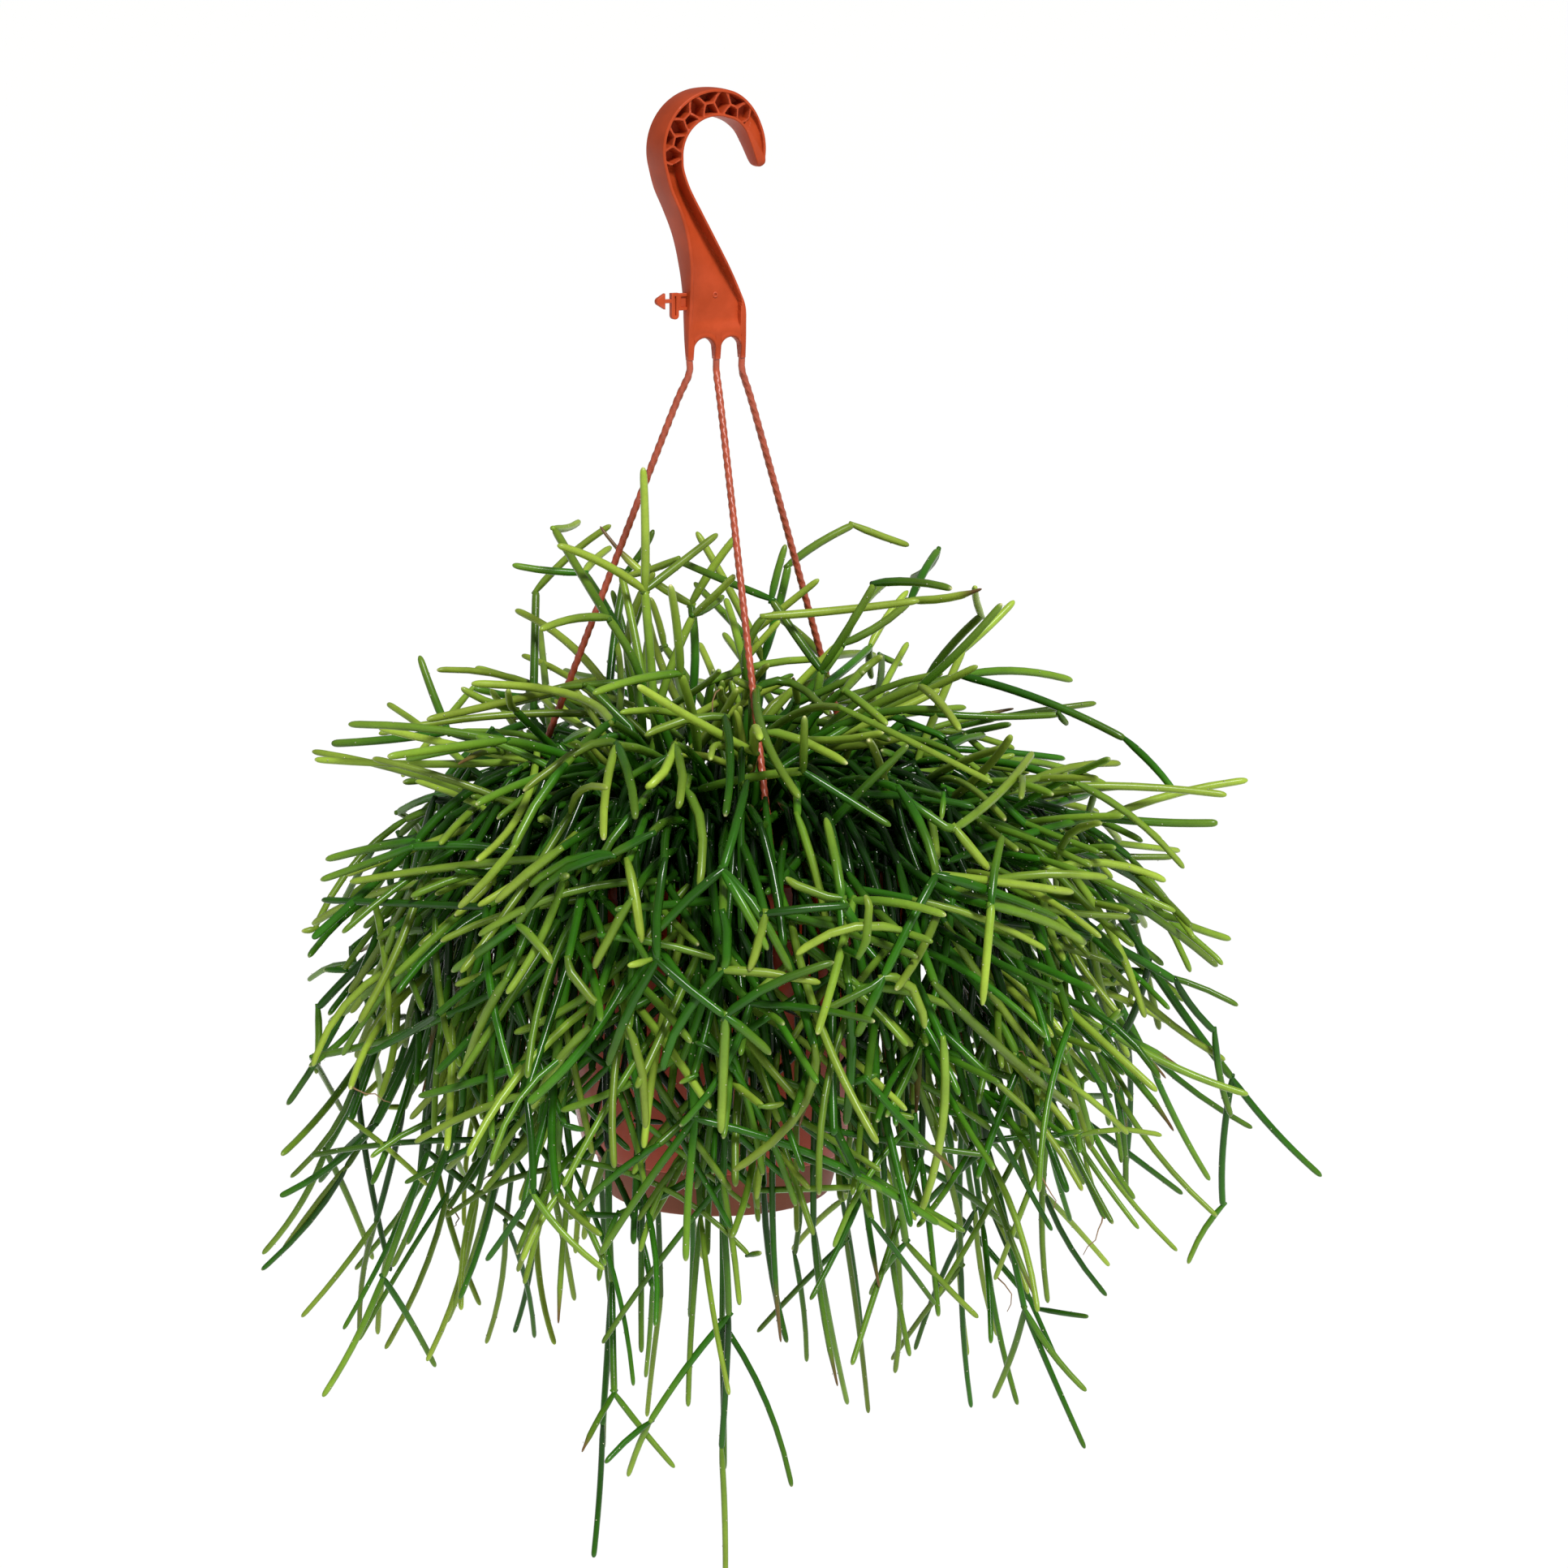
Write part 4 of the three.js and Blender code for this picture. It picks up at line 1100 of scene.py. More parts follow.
class CACTUS_OT_peat(bpy.types.Operator):
    """Builds the crumbly peat with its perlite grains and bark fibres"""

    bl_idname = "cactus.peat"
    bl_label = "Peat"

    def execute(self, context):
        settings = context.scene.cactus_pot
        draws = Draws(77)
        damp = once("damp_peat", plain_grain, settings.peat_colour, spread=0.6, mark=2.5, roughness=0.92)
        white = once("expanded_perlite", plain_grain, linear("#A8A096"),
                     spread=0.3, mark=0.8, roughness=0.9)
        brown = once("shredded_bark", plain_grain, linear("#4A3526"),
                     spread=0.4, mark=1.2, roughness=0.85)
        segments, rings = 144, 46
        low = FLOOR_Z + GAP
        profile = [(0, low), (wall_radius(low) - WALL - GAP, low)]
        profile += [(PEAT_R * math.sqrt(1 - k / rings), 0) for k in range(rings + 1)]
        body = lathe(profile, segments)
        top = []
        for x, y, z in body["vertices"]:
            r = math.hypot(x, y)
            fade = min(1, (PEAT_R - r) / 3 + 0.2)
            top.append((x, y, z if z else peat_height(r) + crumb(x, y) * fade))
        body["vertices"] = top
        tidy_mesh(make_piece("fine_peat", [body], [damp], ["peat"]))

        def somewhere():
            r = PEAT_R * 0.97 * math.sqrt(draws.draw())
            x, y, _ = from_axis(r, draws.between(0, 2 * math.pi), 0)
            return np.array([x, y, peat_height(r) + crumb(x, y)])

        grains = [nugget(somewhere(), draws.between(0.5, 1.5), draws, 0.8)
                  for _ in range(settings.grains)]
        make_piece("perlite_grains", grains, [white])
        fibres = []
        for _ in range(settings.fibres):
            start = somewhere() + draws.between(0.2, 1.0) * UP
            azimuth = draws.between(0, 2 * math.pi)
            long = draws.between(3, 11)
            way = from_axis(1, azimuth, draws.between(-0.15, 0.25))
            middle = start + way * long / 2 + draws.between(0, 0.8) * UP
            end = start + way * long
            if math.hypot(end[0], end[1]) < PEAT_R:
                fibres.append(tube([start, middle, end], [0.3, 0.42, 0.18], 5))
        make_piece("bark_fibres", fibres, [brown])
        return {"FINISHED"}


# ---------- the plant's growth, by the rule of the frame's own stems ----------
SECTION = 1.24  # the corners of a frame's stem lie at this multiple of its radius
ROOT_R = 2.1
LEADER_R = 1.95  # radius of a leader, a stem that is rooted in the peat
LOW_LEADER_R = 1.7  # and of one whose tip hangs below LOW_TIP_Z
LOW_TIP_Z = -470
LEADER_TAPER = 0.25
BRANCH_R = (1.75, 1.6)  # side stems, by order
BRANCH_LENGTH = ((34, 66), (22, 44))
BRANCH_SAG = (0, 0.2)  # how far the end sinks, as a share of the length
BRANCH_Z = (-520, -150)  # heights between which they end
LEADER_TRIES, BRANCH_TRIES = 160, 14
ROOT_DEPTH = 13
ROOT_GAP = 9.5  # least distance between two roots
CLEAR = 0.4  # least air between two stems
JOINT = 52  # usual length of a leader's joint
FORK = (26, 58)  # degrees between a side stem and the joint before it
STRAIGHT = 0.12  # a side stem that sags less has no bend
FORK_AGAIN = (0.36, 0.06)  # share of the side stems that fork, by order
# How far from the axis the stems reach: height and radius.
REACH = (
    (-150, 70), (-175, 104), (-200, 124), (-235, 150), (-260, 166), (-300, 172), (-360, 184),
    (-400, 194), (-440, 180), (-480, 132), (-505, 90), (-530, 45),
)
# Leaders that make the outline: tip x, y, z and the slope of the last segment below level.
KEY_TIPS = (
    (-27, -12, -128, -86), (103, -58, -172, -62), (-78, 62, -193, 6), (117, 82, -193, -48),
    (-117, -92, -221, 2), (-146, 12, -236, 4), (139, 66, -222, 26), (186, -30, -259, -14),
    (-147, -72, -292, 32), (200, 40, -320, 12), (-146, 84, -323, 48), (197, -50, -358, 6),
    (231, -8, -402, 38), (-166, -22, -404, 16), (195, 52, -421, 56), (-178, 24, -441, 44),
    (-147, -70, -467, 48), (135, -86, -483, 58), (-84, 104, -500, 64), (59, 112, -503, 68),
    (101, 78, -502, 76), (-46, -108, -516, 66), (2, -122, -526, 76), (-12, 116, -498, 76),
)
STOREYS = (
    {"azimuths": (10, 58, 112, 163, 214, 262, 312, 338),
     "reach": (24, 88), "z": (-160, -188), "slope": (-70, -16), "root": (3, 28), "joint": 34},
    {"azimuths": (232, 252, 272, 293, 312, 62, 88, 114),
     "reach": (112, 156), "z": (-208, -300), "slope": (0, 36), "root": (16, 42), "joint": 46},
    {"azimuths": (222, 244, 261, 280, 299, 316, 50, 78, 102, 128),
     "reach": (118, 168), "z": (-335, -450), "slope": (40, 66), "root": (36, 58), "joint": 52},
)


def reach_at(z):
    """How far from the axis the stems reach at a height."""
    if z >= REACH[0][0]:
        return REACH[0][1]
    for (za, ra), (zb, rb) in zip(REACH, REACH[1:]):
        if z >= zb:
            return ra + ((za - z) / (za - zb)) * (rb - ra)
    return REACH[-1][1]


def clear_of_pot(p, r):
    """Whether a point on a stem has air to the pot, the rim, the saucer and the peat."""
    out = math.hypot(p[0], p[1])
    if p[2] > RIM_Z + r + 0.8:
        return p[2] > peat_height(min(out, PEAT_R)) + r + 0.3 or out > PEAT_R
    if out < WALL_TOP_R - WALL - r - 1:
        return p[2] > peat_height(out) + r + 0.3
    if p[2] > SKIRT_Z - r - 0.8:
        return out > RIM_R + r + 0.8
    return out > max(wall_radius(max(p[2], BASE_Z)), BASE_R) + r + 0.8


def clears_pot(a, b, r):
    """Whether a whole stretch of stem has air to them."""
    return all(clear_of_pot(a + (b - a) * ((k + 1) / 4), r) for k in range(4))


def turned(direction, fork, around):
    """A direction turned from another by fork degrees, to the side given by around degrees."""
    first, second = crossways(direction)
    f, a = math.radians(fork), math.radians(around)
    return (direction * math.cos(f) + first * math.sin(f) * math.cos(a)
            + second * math.sin(f) * math.sin(a))


def bezier(p0, p1, p2, p3, t):
    """A point of a cubic curve."""
    k = 1 - t
    return k ** 3 * p0 + 3 * k * k * t * p1 + 3 * k * t * t * p2 + t ** 3 * p3


def leader_try(want, loose, draws):
    """One try at a leader: it rises, arches over the rim and runs to its tip."""
    between = draws.between
    tip, slope, root_r, typical = want
    azimuth = math.atan2(tip[1], tip[0]) + math.radians(between(-16, 16) * (1 + loose))
    r = min(max(root_r + between(-6, 6) * (1 + loose), 2), 62)
    root = from_axis(r, azimuth, peat_height(r))
    out = unit(np.array([tip[0] - root[0], tip[1] - root[1], 0]))
    drop = root[2] - tip[2]
    lean = math.radians(between(5, 15) + 40 * (r / 62))
    up = out * math.sin(lean) + UP * math.cos(lean)
    span = np.linalg.norm(tip - root)
    rise = between(86, 112) + 0.12 * drop if drop > 0 else span * 0.42
    end = out * math.cos(math.radians(slope)) - UP * math.sin(math.radians(slope))
    run = span * between(0.42, 0.54) if drop > 0 else span * 0.3
    corners = (root, root + up * rise, tip - end * run, tip)
    length = even_points(lambda t: bezier(*corners, t), 1)[1]
    count = max(2, math.floor(length / (typical * between(0.88, 1.14)) + 0.5))
    halves = even_points(lambda t: bezier(*corners, t), 2 * count)[0]
    points = [root - up * ROOT_DEPTH, root + up]
    for k in range(1, count + 1):
        joint = halves[2 * k].copy()
        if k < count:
            joint += np.array([between(-4, 4), between(-4, 4), between(-3, 3)])
        middle = halves[2 * k - 1] + ((points[-1] + joint) * 0.5 - halves[2 * k - 1]) * 0.35
        points += [middle, joint]
    return points


def joint_count(leader):
    """How many joints a leader has."""
    return (len(leader) - 2) // 2


def joint_end(leader, k):
    """Where a leader's joint ends, and the direction that it has there."""
    at = leader[1 + 2 * k]
    return at, unit(at - leader[2 * k])


class Plant:
    """The stems: the frame's own first, by its own draws, and then the filling."""

    def __init__(self, yaw):
        self.draws = Draws(2027)
        self.sprays = []
        self.ends = np.zeros((0, 2, 3))
        self.radii = np.zeros(0)
        self.joints = []  # the spray and the joints that each stretch belongs to
        for k in range(len(LEGS)):
            route = strand_route(k, yaw)
            points = even_points(lambda t, route=route: catmull_rom(route, t), 8)[0]
            self.take(points, 1.5)
        self.strand_ends = self.ends.copy()

    def take(self, points, r, owner=None, joint_of=lambda i: ("",)):
        """Notes the stretches of a stem, with the spray and the joints that they belong to."""
        pairs = np.array([[a, b] for a, b in zip(points, points[1:])])
        self.ends = np.concatenate([self.ends, pairs])
        self.radii = np.concatenate([self.radii, np.full(len(pairs), r)])
        self.joints += [(owner, joint_of(i)) for i in range(len(pairs))]

    def distances(self, a, b, ends):
        """The distance of one stretch from others."""
        c, d = ends[:, 0], ends[:, 1]
        u, v, w = b - a, d - c, a - c
        uu, vv = u.dot(u), np.einsum("ij,ij->i", v, v)
        uv, uw, vw = v @ u, w @ u, np.einsum("ij,ij->i", v, w)
        den = uu * vv - uv * uv
        with np.errstate(divide="ignore", invalid="ignore"):
            s = np.where(den > 1e-9, np.clip((uv * vw - vv * uw) / den, 0, 1), 0)
        t = np.clip((uv * s + vw) / vv, 0, 1)
        s = np.clip((uv * t - uw) / uu, 0, 1)
        return np.linalg.norm(w + u * s[:, None] - v * t[:, None], axis=1)

    def may_grow(self, points, r, owner, joint, free_end=0):
        """Whether a stem may grow: clear of the pot and of every stem but its own joint's."""
        for a, b in list(zip(points, points[1:]))[free_end:]:
            if not clears_pot(a, b, r * SECTION):
                return False
        near = (r + self.radii) * SECTION + CLEAR
        for i, (a, b) in enumerate(zip(points, points[1:])):
            for j in np.nonzero(self.distances(a, b, self.ends) < near)[0]:
                its_owner, its_joints = self.joints[j]
                if not (its_owner == owner and joint in its_joints and i < 2):
                    return False
        return True

    def wanted_leaders(self):
        """The frame's leaders: tip, slope, root radius and typical joint."""
        between = self.draws.between
        wanted = []
        for x, y, z, slope in KEY_TIPS:
            depth = min(max((-150 - z) / 330, 0), 1)
            wanted.append((np.array([x, y, z], float), slope, between(12, 22) + 38 * depth, JOINT))
        for storey in STOREYS:
            for degrees in storey["azimuths"]:
                azimuth = math.radians(degrees + between(-6, 6))
                tip = from_axis(between(*storey["reach"]), azimuth, between(*storey["z"]))
                slope = between(*storey["slope"])
                wanted.append((tip, slope, between(*storey["root"]), storey["joint"]))
        return wanted

    def grow_leaders(self):
        """Roots the frame's leaders, each clear of the others."""
        for want in self.wanted_leaders():
            owner = len(self.sprays)
            r = LOW_LEADER_R if want[0][2] < LOW_TIP_Z else LEADER_R
            for attempt in range(LEADER_TRIES):
                trial = leader_try(want, attempt / 40, self.draws)
                roomy = all(np.linalg.norm(s["leader"][1] - trial[1]) > ROOT_GAP for s in self.sprays)
                if roomy and self.may_grow(trial, r, owner, "", 1):
                    self.take(trial, r, owner, lambda i: (str(i // 2),))
                    tip_forks = 2 if want[3] < JOINT else 0
                    self.sprays.append({"node": f"spray_{owner + 1:02d}", "leader": trial, "r": r,
                                        "tip_forks": tip_forks, "stems": []})
                    break

    def grow_fork(self, owner, start, direction, joint, order, count):
        """Side stems at one joint, some of them forked again."""
        between = self.draws.between
        first = between(0, 360)
        grown = 0
        for k in range(count):
            later = 1 if order > 1 else 0
            r = BRANCH_R[later]
            for _ in range(BRANCH_TRIES):
                around = first + (k * 360) / max(count, 2) + between(-25, 25)
                heading = turned(direction, between(*FORK), around)
                long = between(*BRANCH_LENGTH[later])
                sag = between(*BRANCH_SAG)
                down = np.array([0, 0, -sag * long])
                middle = start + heading * (long * 0.5) + down * 0.25
                end = start + heading * long + down
                out = math.hypot(end[0], end[1])
                inside = out < reach_at(end[2]) * (1 + 0.07 * (end[0] / max(out, 1)))
                straight = order > 1 or sag < STRAIGHT
                stem = [start, end] if straight else [start, middle, end]
                level = BRANCH_Z[0] < end[2] < BRANCH_Z[1]
                if inside and level and self.may_grow(stem, r, owner, joint):
                    name = f"{joint}.{order}{k}"
                    other = name if straight else joint
                    self.take(stem, r, owner, lambda i: (name,) if i else (joint, other))
                    onward = unit(end - (start if straight else middle))
                    forks = 2 if order < 3 and self.draws.chance(FORK_AGAIN[order - 1]) else 0
                    record = {"points": stem, "r": r, "order": order, "children": 0}
                    self.sprays[owner]["stems"].append(record)
                    record["children"] = self.grow_fork(owner, end, onward, name, order + 1, forks)
                    grown += 1
                    break
        return grown

    def grow(self):
        """Grows the frame's own stems."""
        self.grow_leaders()
        for owner, spray in enumerate(self.sprays):
            leader = spray["leader"]
            joints = joint_count(leader)
            spray["forks"] = [0] * (joints + 1)
            for k in range(2 if joints > 4 else 1, joints + 1):
                at, direction = joint_end(leader, k)
                count = 1 + math.floor(self.draws.between(0, 1.12)) if k < joints else spray["tip_forks"]
                spray["forks"][k] = self.grow_fork(owner, at, direction, str(k), 1, count)
        return self


# ---------- the plant's look ----------
SUNK = 1.8  # how far a joint's root lies in the one before it
NECK = 5.0  # length over which a joint widens from its root
AREOLE_STEP = 9.5
AREOLE_SIZE = 0.4
THIN = 0.9  # living stems are this much thinner than the frame's facets
AGES = ((0.38, 0.98), (0.28, 0.6), (0.14, 0.42), (0.0, 0.28))  # colour by level, 1 is young
LOW_AGE = 0.04  # the lowest stems are this much older in colour
PAINTED_SHADE_AGE = 0.42  # and so are those close to the pot inside the mass: painted shade, partly also the deeper green that stems grown in shade have
TOP_AGE = 0.2  # and the highest ones this much younger
LOW_SLIM = 0.2  # stems at the hem are this much thinner than those above
OWN_HEM_Z, HEM_Z = -380, -330  # below these heights leaders count as young
# The round end of a young and of a grown joint: distance before its end and width, in radii.
YOUNG_END = ((1.5, 0.94), (0.7, 0.8), (0.16, 0.52), (-0.08, 0.24))
GROWN_END = ((1.4, 0.97), (0.7, 0.86), (0.2, 0.62), (-0.05, 0.3))


def joint_stem(points, r, level, draws, dry=0.0):
    """A joint of the plant as it is to be drawn. level 0 is a youngest joint, 3 an old one."""
    points = [np.asarray(p, float) for p in points]
    start, end = points[0], points[-1]
    middle = points[1] if len(points) > 2 else (start + end) / 2
    bow = np.array([draws.between(-1, 1), draws.between(-1, 1), draws.between(-1, 0.6)])
    if len(points) == 2:
        middle = middle + bow * 0.05 * np.linalg.norm(end - start)
    age = draws.between(*AGES[min(level, 3)]) - LOW_AGE * smooth_step(-end[2], 270, 400)
    age += TOP_AGE * smooth_step(end[2], -250, -190)
    # painted shade: joints that end inside the mass, between the rim and the pot's lower wall, get an
    # older, darker colour for the shade that the mass casts there
    inside = math.hypot(end[0], end[1]) / max(dense_reach(end, 1), 90)
    painted_shade_band = smooth_step(-end[2], 225, 270) * (1 - smooth_step(-end[2], 355, 405))
    age -= PAINTED_SHADE_AGE * (1 - smooth_step(inside, 0.68, 0.98)) * painted_shade_band
    slim = 1 - LOW_SLIM * smooth_step(-(start[2] + end[2]) / 2, 310, 410)
    return {
        "start": start, "control": 2 * middle - (start + end) / 2, "end": end, "r": r * THIN * slim,
        "age": age, "tone": draws.between(0.68, 1.28), "phase": draws.between(0, 6.28),
        "young": level == 0, "dry": dry, "wool": draws.between(0, 1) ** 2,
    }


def stem_curve(stem, places, length):
    """Points of a joint's middle line at distances from its root; below 0 it runs on straight."""
    a, b, c = stem["start"], stem["control"], stem["end"]
    t = np.clip(places / length, 0, 1.0)[:, None]
    points = (1 - t) ** 2 * a + 2 * t * (1 - t) * b + t ** 2 * c
    back, ahead = unit(b - a), unit(c - b)
    points += np.minimum(places, 0)[:, None] * back
    points += np.maximum(places - length, 0)[:, None] * ahead
    return points


def stem_parts(stem, sides, step, wool):
    """One joint: a smooth tube with a narrow neck and a blunt end, and its woolly areoles."""
    r = stem["r"]
    start, control, end = stem["start"], stem["control"], stem["end"]
    legs = np.linalg.norm(control - start) + np.linalg.norm(end - control)
    length = 0.5 * (legs + np.linalg.norm(end - start))
    neck = min(NECK, 0.3 * length)
    body_end = length - 2.6 * r
    even = np.linspace(neck, max(body_end, neck + 1), max(2, int((body_end - neck) / step) + 1))
    ends = YOUNG_END if stem["young"] else GROWN_END
    places = np.concatenate([[-SUNK, 0, neck * 0.45], even, [length - back * r for back, _ in ends]])
    widths = np.concatenate([[0.66, 0.72, 0.88], np.ones(len(even)), [width for _, width in ends]])
    share = places / length
    taper = np.interp(share, [0, 0.35, 1], [1.0, 1.04, 0.88 if stem["young"] else 0.98])
    dry = 0 * share
    if stem["dry"] > 0:
        taper *= np.interp(share, [1 - stem["dry"], 1 - stem["dry"] * 0.6], [1, 0.5])
        dry = np.interp(share, [1 - stem["dry"] * 1.15, 1 - stem["dry"] * 0.8], [0, 1])
    part = tube(stem_curve(stem, places, length), widths * taper * r, sides)
    drawn = np.clip(share, 0, 1)
    age = np.clip(stem["age"] - 0.2 + 0.26 * drawn, 0, 1)
    tip = np.where(places > length, 1.0, np.where(places > length - 0.3 * r, 0.25, 0))
    tip = tip * (stem["wool"] if stem["young"] else 0.0) * (1 - dry)
    part["values"] = {
        "age": np.repeat(age, sides), "tone": np.full(len(places) * sides, stem["tone"]),
        "tip": np.repeat(tip, sides), "dry": np.repeat(dry, sides),
    }
    parts = [part]
    if wool:
        parts += areoles(stem, length, r)
    return parts


def areoles(stem, length, r):
    """Flat tufts of wool, a few millimetres apart on turning sides of a joint."""
    places = np.arange(AREOLE_STEP * 0.7, length - 3 * r, AREOLE_STEP)
    if len(places) == 0:
        return []
    points = stem_curve(stem, places, length)
    ahead = unit(stem["end"] - stem["start"])
    first, second = crossways(ahead)
    parts = []
    for k, point in enumerate(points):
        a = stem["phase"] + 2.4 * k
        out = first * math.cos(a) + second * math.sin(a)
        across = np.cross(ahead, out) * AREOLE_SIZE * 0.8
        foot = point + out * (r * 0.97)
        low = foot - ahead * AREOLE_SIZE * 0.5
        parts.append({
            "vertices": [foot + ahead * AREOLE_SIZE, low + across, low - across, foot + out * 0.24],
            "faces": [(0, 1, 3), (1, 2, 3), (2, 0, 3), (2, 1, 0)],
            "material": 1,
        })
    return parts


def leader_joint(leader, k, width, level, draws, dry=0.0):
    """A leader's joint as it is to be drawn. The first one starts deep in the peat."""
    if k > 1:
        return joint_stem(leader[2 * k - 1 : 2 * k + 2], width, level, draws, dry)
    deep, top, middle, end = leader[:4]
    stem = joint_stem([top, middle, end], width, max(level, 2), draws)
    stem["start"] = top - unit(top - deep) * 3
    return stem


def own_joints(spray, draws):
    """The drawn joints of one of the frame's sprays."""
    leader, r = spray["leader"], spray["r"]
    count = joint_count(leader)
    stems = []
    for k in range(1, count + 1):
        level = count - k + (1 if spray["forks"][count] else 0)
        level = min(level, 1) if leader[2 * k + 1][2] < OWN_HEM_Z else level
        share = k / count
        width = ROOT_R + (r - LEADER_TAPER - ROOT_R) * (share - 0.5 / count)
        stems.append(leader_joint(leader, k, width, level, draws))
    for stem in spray["stems"]:
        level = 1 if stem["children"] else 0
        dry = draws.between(0.15, 0.4) if draws.chance(0.05) and not level else 0
        stems.append(joint_stem(stem["points"], stem["r"], level, draws, dry))
    return stems


BRANCHES = ((48, 104), (40, 82), (28, 54))  # lengths of the filling's side stems
SIDE_R = (1.66, 1.52, 1.42)  # and their radii
SIDE_TRIES = 5
SIDE_FORK = (22, 55)  # degrees between a side stem and the joint before it
DRESSED, CLOTHED = (0.3, 0.1, 0.1), (0.36, 0.1, 0)  # shares of the side stems that fork, by order
BUDS, ROOTLETS, DRIED = 0.12, 0.012, 0.04  # shares of the joints that bear one or have a dry end
GOLDEN_ANGLE = 2.39996  # radians from one root to the next, which spreads them evenly
DOME_TOP_Z, DOME_DEPTH = -208, 192  # where the dome's leaders end: height and how far below it
MOST_CROSSED = 2  # how many others a side stem may pass through
TOUCH = 0.72  # share of two radii within which stems pass through
STRAND_ROOM = 2.2  # air between a stem and a strand's middle line
CROSSING_R = 1.7  # radius for which the crossings of rooted stems are counted
# How steeply most stems run down at each height, degrees.
FLOW = ((-520, 62), (-430, 44), (-360, 34), (-290, 18), (-240, -2), (-195, -24), (-150, -50))
# How far from the axis the dense mass reaches at each height; single stems reach further.
DENSE = (
    (-468, 0), (-450, 62), (-426, 98), (-396, 126), (-345, 146), (-300, 150), (-264, 143),
    (-243, 130), (-225, 106), (-212, 70), (-203, 30), (-198, 0),
)
ASLANT = 1.4  # most that a side stem turns from straight outwards
LEAN = 0.1  # the plant has grown towards +X
BACK_LIMIT, HEM_LIMIT = 160, -520  # no stem ends farther back or lower
THINNING = 0.93  # share of the tries that fail at the lowest places
PARTED = 0.93  # share of the tries that fail in front of the front strand
STRAND_VIEW = ((89, 287), (0.1, 21.5))  # where the front strand shows: depth below 0 and x
STRAND_SEEN = (-285, -150)  # heights between which it is kept in view
STRAND_MARGIN = 4
STRAND_RUN = 0.43  # how far it comes forward for each mm that it goes down
HOLLOW = (24, 84, -287, -264)  # x and z between which the view on the peat stays open

# Single stems that hang out of the hem: x and z where they show on the plant's middle plane, y, and
# the slope of their last stretch below level.
HEM = (
    (-158, -377, -20, 24), (-164, -403, 10, 30), (-176, -440, 0, 36), (-161, -459, -30, 40),
    (-145, -464, -50, 46), (-129, -472, -40, 50), (-113, -477, -70, 54), (-83, -494, -75, 60),
    (-61, -502, -100, 66), (-45, -513, 105, 72), (-12, -496, -118, 74), (2, -522, -112, 76),
    (46, -488, -108, 66), (58, -499, 100, 68), (85, -460, -100, 60), (98, -497, 50, 72),
    (116, -496, -40, 66), (132, -480, -70, 54), (123, -454, -105, 50), (152, -423, -90, 38),
    (162, -425, -60, 38), (177, -434, -30, 34), (192, -420, -40, 30), (205, -385, 20, 22),
    (194, -358, -20, 22), (-100, -452, -95, 52), (-62, -462, -110, 62), (24, -470, -118, 70),
    (-30, -474, -116, 72), (74, -476, -92, 66), (-120, -430, -90, 42), (150, -452, 20, 44),
    (-28, -500, 108, 74), (34, -478, 112, 72), (-90, -470, 60, 58), (8, -455, -125, 72),
    (-75, -446, -112, 52), (62, -448, -116, 58), (-140, -440, 30, 42), (108, -468, 70, 60),
)
